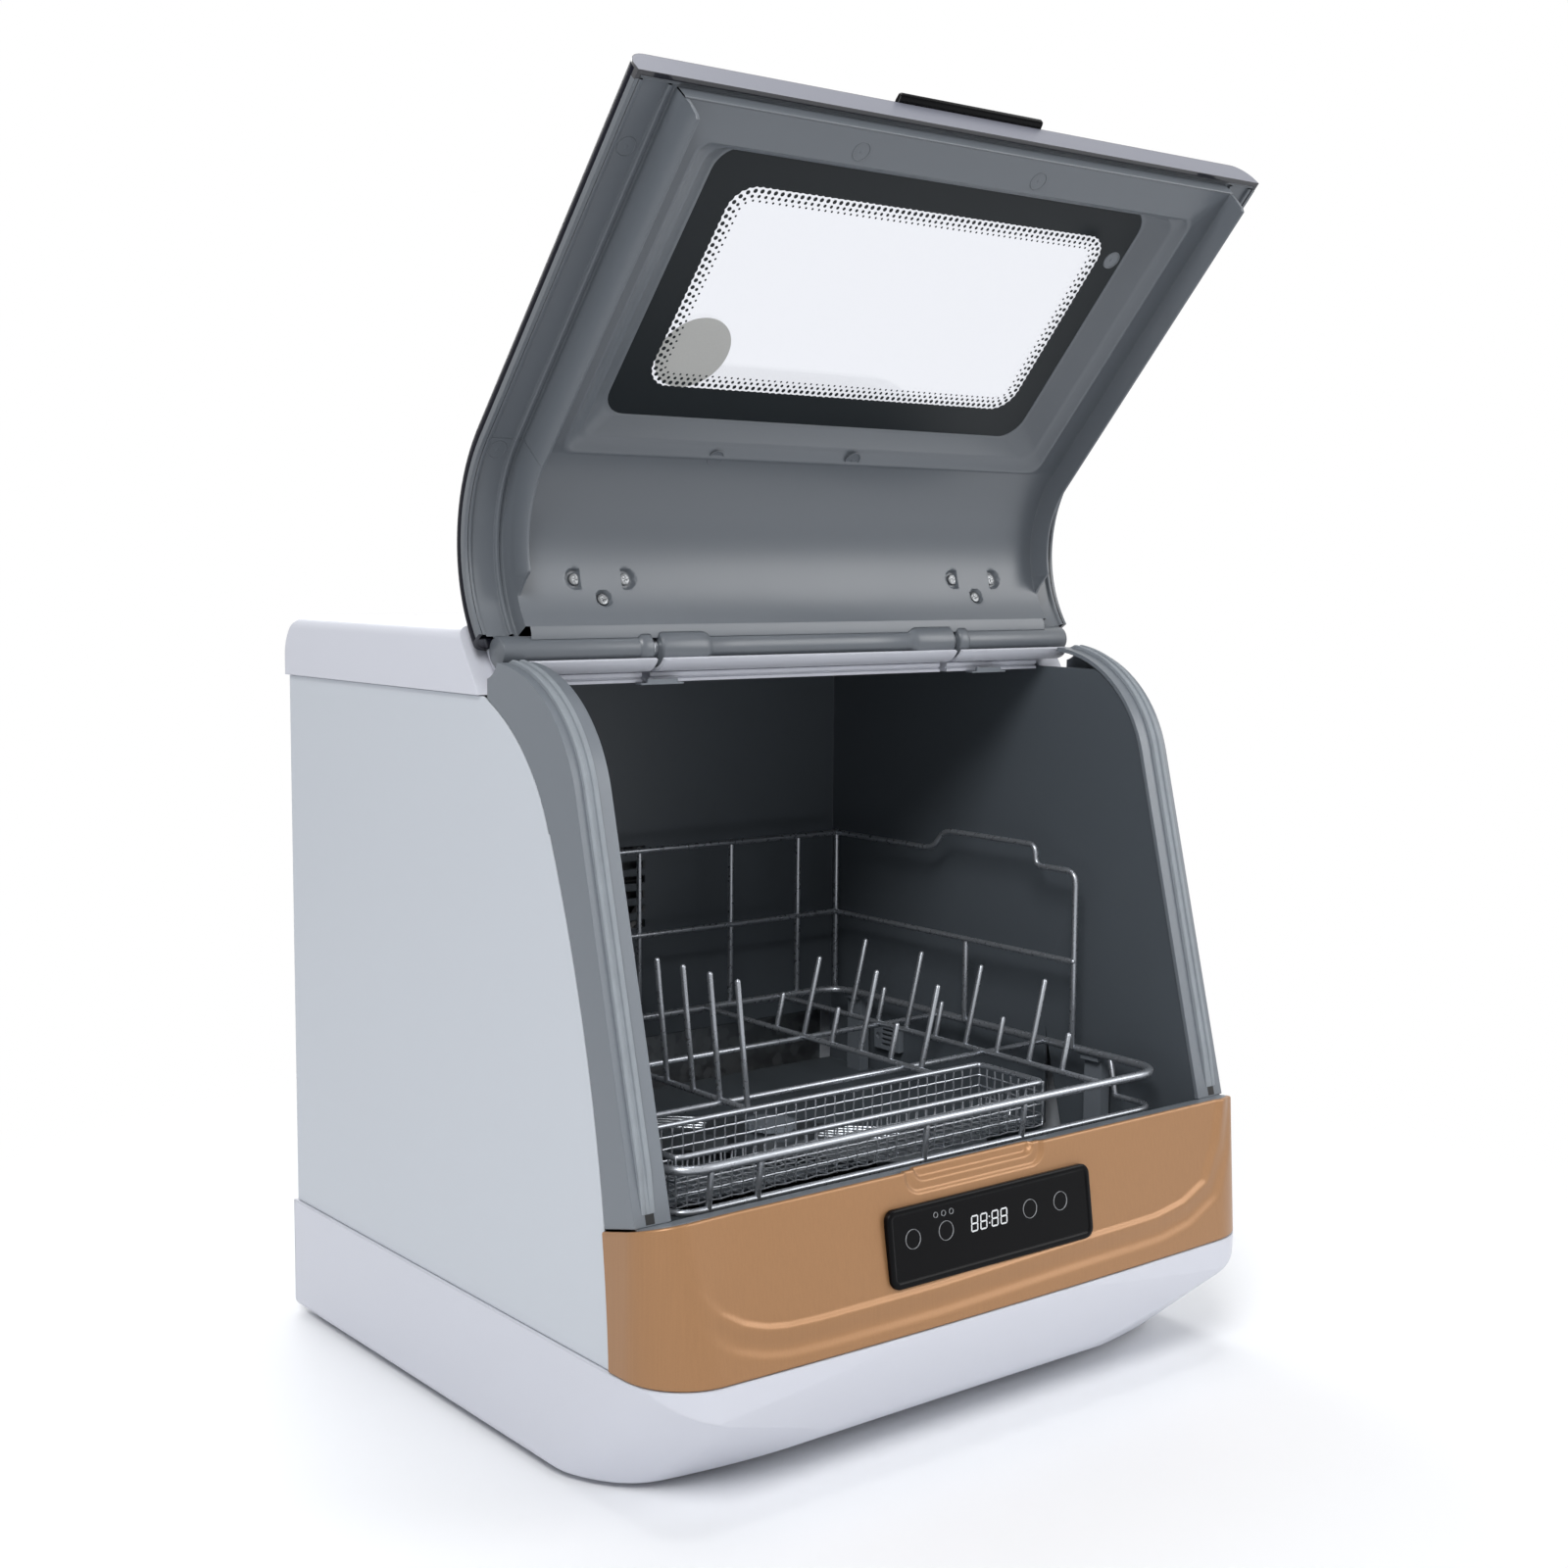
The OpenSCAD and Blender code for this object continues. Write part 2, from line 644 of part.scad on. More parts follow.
// The section of the inner frame: a shallow pan with a raised rail along each side.
module tray_section() {
  translate([-fin_x + 1.5, -pan_depth]) square([2 * fin_x - 3, 2.4]);
  both() {
    translate([fin_x - 2, -pan_depth]) square([2, pan_depth + 5.4]);
    translate([fin_x - 1, 3]) square([half_w - lid_wall - 0.4 - fin_x + 1, 2.4]);
  }
}

// The section of the two splash fins.
module fin_section() {
  both() translate([fin_x - 1.8, -fin_depth]) square([1.6, fin_depth - pan_depth + 1.2]);
}

// The grey inner frame of the lid: pan, splash fins and the rolled hinge edge.
module lid_frame() color([0.52, 0.55, 0.58]) opened() {
  difference() {
    union() {
      difference() {
        up_rim(3, rim_len) tray_section();
        rim_frame() translate([0, 0, glass_mid]) rotate([90, 0, 0]) linear_extrude(30, center = true) round_rect(glass_x + 1, glass_h / 2 + 1, glass_r);
      }
      round_rim(0, arc_a) tray_section();
      up_rim(3.4, rim_len) fin_section();
      round_rim(0, fin_end) fin_section();
      rim_frame() translate([0, pan_depth - 0.3, glass_mid]) rotate([90, 0, 0]) linear_extrude(pan_depth + 5.5) difference() {
        round_rect(glass_x + 2.4, glass_h / 2 + 2.4, glass_r + 2);
        round_rect(glass_x, glass_h / 2, glass_r);
      }
      up_rim(lid_lo + lid_wall + 0.3, 5.2) translate([-half_w + 3.2, 3.2]) square([body_w - 6.4, 2]);
      up_rim(3.3, 5.7) translate([-fin_x + 1, -pan_depth + 0.3]) square([2 * fin_x - 2, pan_depth + 3.3]);
      across(-fin_x + 1, fin_x - 1) polygon([[crown_y - 3, crown_z - pan_depth + 0.3], [crown_y - 3, crown_z - pan_depth + 2], [hinge_y - 5, hinge_z - 3],
        [hinge_y - 1, hinge_z - 6.6], [crown_y, crown_z - pan_depth + 0.3]]);
      across(-half_w + 9, half_w - 9) {
        about_hinge(roll_r);
        translate([crown_y - 3, crown_z + 3.15]) square([hinge_setback, 2.1]);
      }
      both() across(74, 106.6) about_hinge(knuckle_r);
    }
    both() translate([hinge_x - arm_slot / 2, hinge_y - 14, hinge_z - 14]) cube([arm_slot, 40, 30]);
    both() translate([hinge_x - 12.4, hinge_y, hinge_z]) rotate([0, 90, 0]) cylinder(r = pin_r + pin_clear, h = 24.8);
  }
}

// The clear window pane.
module window_glass() color([0.75, 0.82, 0.85, 0.35]) opened() {
  rim_frame() translate([0, -6, glass_mid]) rotate([90, 0, 0]) linear_extrude(pane_t) round_rect(glass_x + 8, glass_h / 2 + 6, glass_r);
}

// The round white disc stuck on the inside of the pane.
module window_disc() color([0.86, 0.88, 0.90]) opened() {
  rim_frame() translate([-110, -5.6, 150]) rotate([90, 0, 0]) cylinder(r = 22, h = 0.4);
}

// The glossy pull at the lid's free end.
module lid_handle() color([0.06, 0.06, 0.07]) opened() {
  rim_frame() translate([0, 0, 0]) {
    translate([0, 0, lid_lo + 0.6]) linear_extrude(12) mirror([0, 1]) polygon([[-60, lid_t + 0.05], [60, lid_t + 0.05], [59, lid_t + 2.4], [-59, lid_t + 2.4]]);
    translate([0, 0, lid_lo + 0.6]) linear_extrude(3) mirror([0, 1]) polygon([[-60, lid_t + 0.05], [60, lid_t + 0.05], [50, lid_t + 10], [-50, lid_t + 10]]);
    translate([0, 0, -7]) linear_extrude(8) mirror([0, 1]) polygon([[-54, lid_t + 6.6], [54, lid_t + 6.6], [50, lid_t + 10], [-50, lid_t + 10]]);
  }
}

// One screw head on the inner frame, at a given angle round the rim's rounded top.
module lid_screw(x, a) {
  rim_frame() translate([0, rim_r, rim_len]) rotate([-a, 0, 0]) translate([x, -rim_r + pan_depth + 0.15, 0]) rotate([-90, 0, 0]) difference() {
    cylinder(r = 3.4, h = 1.6, $fn = 32);
    translate([-0.5, -2.4, 0.8]) cube([1, 4.8, 2]);
    translate([-2.4, -0.5, 0.8]) cube([4.8, 1, 2]);
  }
}

// Six screws through the inner frame, three in front of each hinge arm.
module lid_screws() color([0.70, 0.71, 0.72]) opened() {
  for (x = [-137, 137]) {
    for (s = [-1, 1]) lid_screw(x + 16 * s, 54.8);
    lid_screw(x, 63);
  }
}

// One steel hinge arm, standing on the tub's roof.
module hinge_arm() {
  foot = roof_z + tub_wall + 0.3;
  across(hinge_x - arm_t / 2, hinge_x + arm_t / 2) difference() {
    union() {
      about_hinge(5.6);
      polygon([[hinge_y, hinge_z - 5.6], [hinge_y, hinge_z + 4], [hinge_y + 8, hinge_z + 0.5], [hinge_y + 16, hinge_z - 3], [hinge_y + 66, foot + 5.7], [hinge_y + 66, foot],
        [hinge_y + 30, foot], [hinge_y + 16, hinge_z - 8]]);
    }
    about_hinge(pin_r + 0.02);
  }
  translate([hinge_x - 1, hinge_y + 30, foot]) cube([18, 36, 2]);
}

module hinge_arms() color([0.66, 0.67, 0.69]) {
  both() hinge_arm();
}

// The two pins the lid turns on, fixed in the arms.
module hinge_pins() color([0.72, 0.73, 0.75]) {
  both() translate([hinge_x - 11.8, hinge_y, hinge_z]) rotate([0, 90, 0]) cylinder(r = pin_r, h = 23.6);
}

// The glossy plate that carries the controls.
module control_bezel() color([0.04, 0.04, 0.05]) {
  translate([0, control_y, control_z + control_h / 2]) rotate([-front_tilt, 0, 0]) translate([0, control_t - 0.8, 0]) rotate([90, 0, 0]) {
    linear_extrude(control_t - 0.6) round_rect(control_x, control_h / 2, 6);
    linear_extrude(control_t) round_rect(control_x - 0.8, control_h / 2 - 0.8, 5.2);
  }
}

// The circuit board behind the control plate.
module control_board() color([0.10, 0.36, 0.20]) {
  translate([0, control_y, control_z + control_h / 2]) rotate([-front_tilt, 0, 0]) translate([0, control_t + 1.5, 0]) rotate([90, 0, 0]) {
    translate([-60, -14, 0]) cube([120, 28, 1.6]);
    translate([-20, -9, 1.6]) cube([36, 18, 0.4]);
    translate([-52, -6, -6]) cube([16, 12, 6]);
    translate([34, -8, -5]) cube([12, 16, 5]);
  }
}

// The sump cup under the tub's well.
module sump() color([0.20, 0.21, 0.22]) {
  translate([sump_x, sump_y, 0]) difference() {
    union() {
      translate([0, 0, 46]) cylinder(r = sump_r + 0.6, h = floor_z - 9.3 - 46);
      translate([0, 0, floor_z - 12.3]) cylinder(r = sump_r + 10, h = 3);
      translate([30, 0, 56]) rotate([0, 90, 0]) cylinder(r = 11, h = 30);
      translate([-8, -30, 54]) rotate([90, 0, 0]) cylinder(r = 9, h = 28);
    }
    translate([0, 0, 48.4]) cylinder(r = sump_r - 2, h = 100);
    translate([30, 0, 56]) rotate([0, 90, 0]) cylinder(r = 8.6, h = 40);
    translate([-8, -30, 54]) rotate([90, 0, 0]) cylinder(r = 6.6, h = 40);
  }
}

// The flat filter that lies in the well.
module filter_plate() color([0.66, 0.68, 0.70]) {
  translate([sump_x, sump_y, floor_z - 6.7]) difference() {
    cylinder(r = well_r - 0.8, h = 1.4);
    translate([0, 0, -1]) cylinder(r = 28, h = 4);
    for (a = [0 : 15 : 345]) rotate([0, 0, a]) translate([33, -1, -1]) cube([17, 2, 4]);
  }
}

// The twist-out filter cup.
module filter_cup() color([0.30, 0.32, 0.34]) {
  translate([sump_x, sump_y, 0]) {
    difference() {
      translate([0, 0, 64]) cylinder(r = 26, h = floor_z - 5 - 64);
      translate([0, 0, 66]) cylinder(r = 24.4, h = 60);
      for (a = [0 : 22.5 : 337.5]) rotate([0, 0, a]) translate([20, -2, 70]) cube([10, 4, 24]);
    }
    translate([0, 0, floor_z - 5]) difference() {
      cylinder(r = 31, h = 2.4);
      translate([0, 0, -1]) cylinder(r = 24.4, h = 5);
    }
    translate([-25, -1.5, floor_z - 12]) cube([50, 3, 7]);
  }
}

// The riser tube the spray arm turns on.
module riser() color([0.33, 0.35, 0.37]) {
  difference() {
    union() {
      translate([0, 0, floor_z + 3.3]) cylinder(r = 16, h = spray_z - floor_z - 4);
      translate([0, 0, floor_z + 3.3]) cylinder(r = riser_r, h = spray_z + spray_t + 1.2 - floor_z - 3.3);
    }
    translate([0, 0, 100]) cylinder(r = riser_r - 2.4, h = spray_z + spray_t - 2.4 - 100);
    for (a = [0, 90]) rotate([0, 0, a + spray_turn]) translate([-20, -2, spray_z + 3]) cube([40, 4, 3.6]);
  }
}

// The cap that keeps the spray arm on its riser.
module riser_cap() color([0.40, 0.42, 0.44]) {
  translate([0, 0, spray_z + spray_t + 1.2]) difference() {
    cylinder(r = 15, h = 4);
    for (a = [0 : 30 : 330]) rotate([0, 0, a]) translate([15.4, 0, -1]) cylinder(r = 1.4, h = 6, $fn = 24);
  }
}

// The pressed steel spray arm.
module spray_arm() color([0.74, 0.75, 0.77]) {
  translate([0, 0, spray_z]) rotate([0, 0, spray_turn]) difference() {
    linear_extrude(spray_t) {
      circle(30);
      for (s = [-1, 1]) {
        translate([s * (arm_reach - arm_tip_w / 2), 0]) circle(arm_tip_w / 2);
        translate([s > 0 ? 0 : -arm_reach + arm_tip_w / 2, -arm_tip_w / 2]) square([arm_reach - arm_tip_w / 2, arm_tip_w]);
      }
    }
    difference() {
      translate([0, 0, 1]) linear_extrude(spray_t - 2) for (s = [-1, 1]) {
        translate([s * (arm_reach - arm_tip_w / 2), 0]) circle(arm_tip_w / 2 - 1);
        translate([s > 0 ? 0 : -arm_reach + arm_tip_w / 2, -arm_tip_w / 2 + 1]) square([arm_reach - arm_tip_w / 2, arm_tip_w - 2]);
      }
      difference() {
        cylinder(r = 12, h = 60, center = true);
        translate([0, 0, spray_t / 2]) cube([40, 6, 4], center = true);
      }
    }
    cylinder(r = riser_r + riser_clear, h = 60, center = true);
    for (s = [-1, 1], d = [46, 78, 112]) translate([s * d, s * (d - 80) / 6, 5]) cylinder(r = 2.2, h = 9, $fn = 32);
    for (s = [-1, 1]) translate([s * 96 - 8, -1.5 - s * 9, 5]) cube([16, 3, 9]);
  }
}

// One wire between two points.
module wire(p, q, r) {
  v = q - p;
  l = norm(v);
  translate(p) rotate([0, acos(v[2] / l), atan2(v[1], v[0])]) cylinder(r = r, h = l, $fn = 24);
}

// A run of wires with a ball at each joint.
module wires(pts, r) {
  for (i = [0 : len(pts) - 2]) wire(pts[i], pts[i + 1], r);
  for (i = [1 : len(pts) - 1]) translate(pts[i]) sphere(r = r * 1.07, $fn = 24);
}

// The coated wire rack's rails, cross wires and hanging loop.
module rack_rails() color([0.66, 0.68, 0.70]) {
  t = rack_z + 0.8;
  wires([[-rack_x, rack_back, rack_z], [-rack_x, -rack_front + 14, rack_z], [-rack_x + 14, -rack_front, rack_z], [rack_x - 14, -rack_front, rack_z],
    [rack_x, -rack_front + 14, rack_z], [rack_x, rack_back, rack_z], [-rack_x, rack_back, rack_z]], rail_r);
  for (x = [124, 60, -76]) wire([x, x > 100 ? -rack_front : -82, t], [x, rack_back, t], wire_r);
  for (y = [45, -52]) wire([-rack_x, y, rack_z - 0.8], [rack_x, y, rack_z - 0.8], wire_r);
}

module rack_loop() color([0.66, 0.68, 0.70]) {
  lo = -rack_front + 3;
  wires([[rack_x - 3, -118, low_rail_z], [rack_x - 3, lo + 11, low_rail_z], [rack_x - 14, lo, low_rail_z], [-rack_x + 14, lo, low_rail_z],
    [-rack_x + 3, lo + 11, low_rail_z], [-rack_x + 3, -118, low_rail_z]], wire_r);
}

// The short wires that hang the lower rail from the upper one.
module rack_legs() color([0.66, 0.68, 0.70]) {
  for (x = [-156, -125, -11, 63]) wire([x, -rack_front + 0.5, rack_z], [x, -rack_front + 3, low_rail_z], tine_r);
  both() wire([rack_x - 0.5, -110, rack_z], [rack_x - 3, -117, low_rail_z], tine_r);
}

// The leaning tines that hold plates and cups.
module rack_tines() color([0.66, 0.68, 0.70]) {
  t = rack_z + 0.8;
  for (x = [60, 124], i = [(x == 60 ? 2 : 0) : 7]) {
    y = (x == 60 ? -122 : -120) + i * tine_pitch;
    l = (i + (x == 60 ? 1 : 0)) % 2 == 0 ? 22 : 50;
    wires([[x + 0.5, y, t], [x + l * sin(15), y, t + l * cos(15)]], tine_r);
  }
  for (i = [0 : 5]) wires([[-76.5, -77 + i * 25.4, t], [-84, -77 + i * 25.4, t + 72]], tine_r);
}

// The guard frames that rise at the back and on the right.
module rack_guards() color([0.66, 0.68, 0.70]) {
  sx = rack_x - 3;
  wires([[sx, -80, rack_z + 1], [sx, -80, rack_top - 4], [sx, -60, rack_top], [sx, -45, rack_top + 13], [sx, 40, rack_top + 13],
    [sx, 50, rack_top], [sx, rack_back, rack_top]], wire_r);
  wire([sx - 0.9, -80, 220], [sx - 0.9, rack_back, 220], wire_r);
  wire([sx, 17, rack_z + 1], [sx, 17, 220], wire_r);
  for (z = [rack_top, 220]) wire([-sx, rack_back, z], [sx, rack_back, z], wire_r);
  for (x = [-sx - 0.8, -142, -67, 8, 83, 141, sx + 0.8]) wires([[x, rack_back + 0.9, rack_z], [x, rack_back + 0.9, rack_top + 0.6]], wire_r);
}

// Four feet that carry the rack on the tub's floor.
module rack_feet() color([0.50, 0.52, 0.54]) {
  for (sx = [-1, 1], y = [-92, 136]) translate([sx * (rack_x + 5.2), y, floor_z]) {
    translate([-2, -7, 0.02]) cube([8, 14, rack_z - floor_z - rail_r - 0.02]);
    translate([-5.6, -7, rack_z - floor_z - rail_r - 3]) cube([11.6, 14, 3]);
  }
}

// A flat square mesh.
module mesh_sheet(a, b) {
  difference() {
    square([a, b]);
    for (i = [0 : floor((a - mesh_t) / mesh_pitch) - 1], j = [0 : floor((b - mesh_t) / mesh_pitch) - 1])
      translate([mesh_t + i * mesh_pitch, mesh_t + j * mesh_pitch]) square(mesh_pitch - mesh_t);
  }
}

// The woven cutlery basket, hooked on the rack's front corner.
module cutlery_basket() color([0.70, 0.72, 0.74]) {
  x0 = -rack_x + 8;
  y0 = -140;
  zb = basket_z - basket_d;
  translate([x0, y0, zb + 4]) {
    linear_extrude(mesh_t) mesh_sheet(basket_l, basket_w - 6);
    translate([0, mesh_t, 0]) rotate([90, 0, 0]) linear_extrude(mesh_t) mesh_sheet(basket_l, basket_d - 4);
    translate([0, basket_w - 6, 0]) rotate([90, 0, 0]) linear_extrude(mesh_t) mesh_sheet(basket_l, basket_d - 4);
    rotate([90, 0, 90]) linear_extrude(mesh_t) mesh_sheet(basket_w - 6, basket_d - 4);
    translate([basket_l - mesh_t, 0, 0]) rotate([90, 0, 90]) linear_extrude(mesh_t) mesh_sheet(basket_w - 6, basket_d - 4);
  }
  translate([0, 0, basket_z]) {
    wires([[x0, y0, 0], [x0 + basket_l, y0, 0], [x0 + basket_l, y0 + basket_w - 6, 0], [x0, y0 + basket_w - 6, 0], [x0, y0, 0]], wire_r);
    translate([x0, y0, 0]) sphere(r = wire_r, $fn = 24);
  }
}

// The louvred vent on the right wall, with its screw.
module air_vent() color([0.42, 0.44, 0.46]) {
  translate([tub_x - tub_wall - 4.6, 96, 126]) difference() {
    cube([4.3, 26, 18]);
    for (i = [0 : 3]) translate([-1, 4, 3 + 3.4 * i]) cube([4, 14, 1.6]);
    translate([-1, 22, 9]) rotate([0, 90, 0]) cylinder(r = 2, h = 2.4, $fn = 32);
  }
}

// The wash pump's housing and motor can.
module pump_housing() color([0.22, 0.23, 0.25]) {
  translate([pump_x, pump_y, pump_z]) rotate([0, 90, 0]) difference() {
    union() {
      translate([0, 0, -36]) cylinder(r = 34, h = 26);
      translate([0, 0, -10]) cylinder(r = 30, h = 66);
      translate([26, -26, 4]) cube([pump_z - foot_h - wall - 26.1, 52, 14]);
      translate([-31, 0, -23]) rotate([0, -90, 0]) cylinder(r = 9, h = 9);
    }
    translate([0, 0, -33.6]) cylinder(r = 31, h = 21);
    translate([0, 0, -40]) cylinder(r = 11, h = 20);
    translate([0, 0, -20]) cylinder(r = 3.05, h = 74);
    translate([0, 0, 4]) cylinder(r = 27, h = 48);
  }
}

// The wash pump's rotor: shaft, impeller and motor core.
module pump_rotor() color([0.60, 0.50, 0.40]) {
  translate([pump_x, pump_y, pump_z]) rotate([0, 90, 0]) {
    translate([0, 0, -30]) cylinder(r = 3, h = 83);
    translate([0, 0, -20]) cylinder(r = 27, h = 3);
    for (a = [0 : 60 : 300]) rotate([0, 0, a]) translate([8, -1, -28]) cube([18, 2, 9]);
    translate([0, 0, 9]) cylinder(r = 23, h = 38);
  }
}

// The drain pump beside the sump.
module drain_pump() color([0.28, 0.30, 0.32]) {
  translate([-80, -36, 54]) rotate([90, 0, 0]) {
    cylinder(r = 24, h = 18);
    translate([-18, -16, 18]) cube([36, 32, 34]);
    for (x = [-18, 12]) translate([x, foot_h + wall + 0.1 - 54, 18]) cube([6, 40, 34]);
  }
}

// The inlet valve behind the connection bay.
module inlet_valve() color([0.85, 0.86, 0.84]) {
  translate([-30, back_y - 37.2, bay_z]) rotate([90, 0, 0]) {
    cylinder(r = 10, h = 22);
    translate([-11, -4, 22]) cube([22, 34, 26]);
  }
}

// The threaded water inlet.
module water_inlet() color([0.78, 0.79, 0.80]) {
  translate([-30, back_y - 33.8, bay_z]) rotate([-90, 0, 0]) difference() {
    union() {
      cylinder(r = 16, h = 4);
      cylinder(r = 13.2, h = 28);
      translate([0, 0, -3.2]) cylinder(r = 10.2, h = 4);
    }
    translate([0, 0, 2]) cylinder(r = 9, h = 40);
  }
}

// The drain spigot.
module drain_outlet() color([0.15, 0.15, 0.16]) {
  translate([12, back_y - 33.8, bay_z]) rotate([-90, 0, 0]) difference() {
    union() {
      cylinder(r = 14, h = 4);
      cylinder(r = 9.5, h = 28);
      translate([0, 0, -3.2]) cylinder(r = 8.2, h = 4);
    }
    translate([0, 0, 2]) cylinder(r = 7, h = 40);
  }
}

// The mains socket the lead plugs into.
module power_inlet() color([0.10, 0.10, 0.11]) {
  translate([34, back_y - 33.9, bay_z - 12]) {
    difference() {
      cube([24, 28, 24]);
      translate([2, 6, 2]) cube([20, 30, 20]);
    }
    for (x = [6, 12, 18]) translate([x - 1, 4, x == 12 ? 13 : 8]) cube([2, 18, 4]);
  }
}

// The flow heater between the sump and the wash pump.
module flow_heater() color([0.68, 0.66, 0.62]) {
  translate([-60, -108, 46]) rotate([0, 90, 0]) {
    cylinder(r = 17, h = 130);
    translate([0, 0, -4]) cylinder(r = 14, h = 138);
    for (z = [10, 112]) translate([8, -14, z]) cube([37.9 - foot_h - wall, 28, 8]);
  }
}

// The door switch under the sill.
module door_switch() color([0.16, 0.17, 0.18]) {
  rim_frame() translate([118, -8, sill_l - 20]) {
    cube([20, 7, 16]);
    translate([8, 2, 16]) cube([4, 3, 0.9]);
  }
}

// The drying fan's frame behind the tub.
module fan_frame() color([0.14, 0.14, 0.15]) {
  translate([0, tub_back + tub_wall + 0.1, fan_z]) rotate([-90, 0, 0]) difference() {
    translate([-40, -40, 0]) cube([80, 80, 13]);
    translate([0, 0, -1]) cylinder(r = 37, h = 11);
    difference() {
      translate([0, 0, 9]) cylinder(r = 37, h = 6);
      translate([0, 0, 8]) cylinder(r = 13, h = 6);
      for (a = [0, 60, 120]) rotate([0, 0, a]) translate([-38, -2, 8]) cube([76, 4, 6]);
    }
    translate([0, 0, 6]) cylinder(r = 2.05, h = 5);
  }
}

// The drying fan's rotor.
module fan_rotor() color([0.20, 0.20, 0.22]) {
  translate([0, tub_back + tub_wall + 0.1, fan_z]) rotate([-90, 0, 0]) {
    translate([0, 0, 1]) cylinder(r = 13, h = 7.4);
    translate([0, 0, 2]) cylinder(r = 2, h = 8);
    for (a = [0 : 360 / 7 : 359]) rotate([0, 0, a]) translate([12, -1, 1.6]) rotate([34, 0, 0]) cube([22.6, 8, 1.4]);
  }
}

base_tray();
rubber_feet();
side_panel_left();
side_panel_right();
back_panel();
top_cap();
opening_lip();
lip_clips();
front_frame();
door_seal();
front_panel();
tub();
lid_shell();
hinge_cover();
lid_frame();
window_glass();
window_disc();
lid_handle();
lid_screws();
hinge_arms();
hinge_pins();
control_bezel();
control_board();
sump();
filter_plate();
filter_cup();
riser();
riser_cap();
spray_arm();
rack_rails();
rack_loop();
rack_legs();
rack_tines();
rack_guards();
rack_feet();
cutlery_basket();
air_vent();
pump_housing();
pump_rotor();
drain_pump();
inlet_valve();
water_inlet();
drain_outlet();
power_inlet();
flow_heater();
door_switch();
fan_frame();
fan_rotor();
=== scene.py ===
"""Dresses the countertop dishwasher: finer meshes for what shows, and a real finish on every piece."""

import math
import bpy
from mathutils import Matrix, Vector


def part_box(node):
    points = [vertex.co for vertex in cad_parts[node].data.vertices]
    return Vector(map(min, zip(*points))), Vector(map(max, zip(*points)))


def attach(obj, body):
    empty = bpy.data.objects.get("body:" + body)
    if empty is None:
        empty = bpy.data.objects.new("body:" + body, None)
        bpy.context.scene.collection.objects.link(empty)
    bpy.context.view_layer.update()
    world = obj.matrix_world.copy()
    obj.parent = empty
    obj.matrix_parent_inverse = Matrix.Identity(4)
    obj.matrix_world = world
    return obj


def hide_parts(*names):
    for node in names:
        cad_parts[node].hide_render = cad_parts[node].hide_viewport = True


bl_info = {
    "name": "Countertop dishwasher",
    "version": (1, 0, 0),
    "blender": (4, 5, 0),
    "location": "View3D > Sidebar > Dishwasher",
    "description": "Dresses the packed countertop dishwasher with fine meshes and procedural finishes",
    "category": "Add Mesh",
}

import bpy
from mathutils import Matrix, Vector

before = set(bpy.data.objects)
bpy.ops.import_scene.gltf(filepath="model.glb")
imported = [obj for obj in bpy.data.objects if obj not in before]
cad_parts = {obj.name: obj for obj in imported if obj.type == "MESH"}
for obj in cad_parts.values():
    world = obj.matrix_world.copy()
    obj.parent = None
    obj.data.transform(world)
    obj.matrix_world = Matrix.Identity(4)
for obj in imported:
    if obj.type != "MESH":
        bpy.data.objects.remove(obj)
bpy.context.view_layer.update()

# Shape of the machine in millimetres, closed lid, +Z up, front at -Y.
LEAN = math.radians(14.15)
RIM_Y, RIM_Z, RIM_LEN, RIM_R = -167.2, 150.0, 209.0, 79.2
ARC = math.pi / 2 - LEAN
ARC_Y = RIM_Y + RIM_R * math.cos(LEAN) + RIM_LEN * math.sin(LEAN)
ARC_Z = RIM_Z - RIM_R * math.sin(LEAN) + RIM_LEN * math.cos(LEAN)
CROWN_S = RIM_LEN + RIM_R * ARC
HINGE_Y, HINGE_Z = ARC_Y + 8.7, ARC_Z + RIM_R + 4.6
LID_OPEN = math.radians(-124.6)
HALF_W = 215.0
PANEL_LOW, PANEL_RISE = 72.0, 81.3
PLATE_TILT = math.atan(11.6 / PANEL_RISE)
PLATE_Y, PLATE_Z = -192.42, 116.0
SWEEP_Y, SWEEP_Z, SWEEP_R = 633.6, 42.4, 781.8  # the arc that ends the panel's sides
PLATE_SINK = 0.8  # the plate's face lies this far outside its reference point
RIM_GAP = 2.3  # between the panel's top edge and the closed lid's edge
RAIL_Z = 165.0

# The shell's face is flat to EDGE_X, then turns in a quarter round of EDGE_R about a centre EDGE_OFF out.
EDGE_X, EDGE_R, EDGE_OFF = 203.4, 11.6, 5.4

# The lid's inner frame: face of the pan, start of the frame along the rim, and the window's middle.
PAN_OFF, PAN_START, WINDOW_S = -6.0, 5.7, 111.0
FIN_IN, FIN_OUT = 187.9, 190.5  # the splash fins stand between these places across the lid

# Two groups of three lid screws: a pair, and one nearer the hinge.
SCREW_GROUPS = (-137, 137)
SCREW_SIDE, SCREW_S, SCREW_LOW_S = 16, 284.7, 296.5

# The soft upward crease across the coloured panel, as (along the panel, height).
CREASE = [
    (-193.7, 122.4), (-187, 114.8), (-178.6, 106.7), (-166, 99.3), (-153, 95.1), (-139.6, 93.2),
    (-118.6, 92.6), (-82, 92.8), (-41, 93.0), (0, 94.2), (40, 95.3), (75, 96.0), (105.6, 96.3),
    (128, 96.8), (151.4, 100.2), (171.8, 108.4), (183.6, 127.7), (191.7, 150.8), (193, 160),
]

# The steps of the thumb recess: middle, half width, drop, corner, share of the depth and soft edge.
RECESS = ((-6.2, 50.4, 12.2, 10, 0.36, 1.5), (-5.4, 43.2, 6.6, 6.5, 0.64, 1.8))


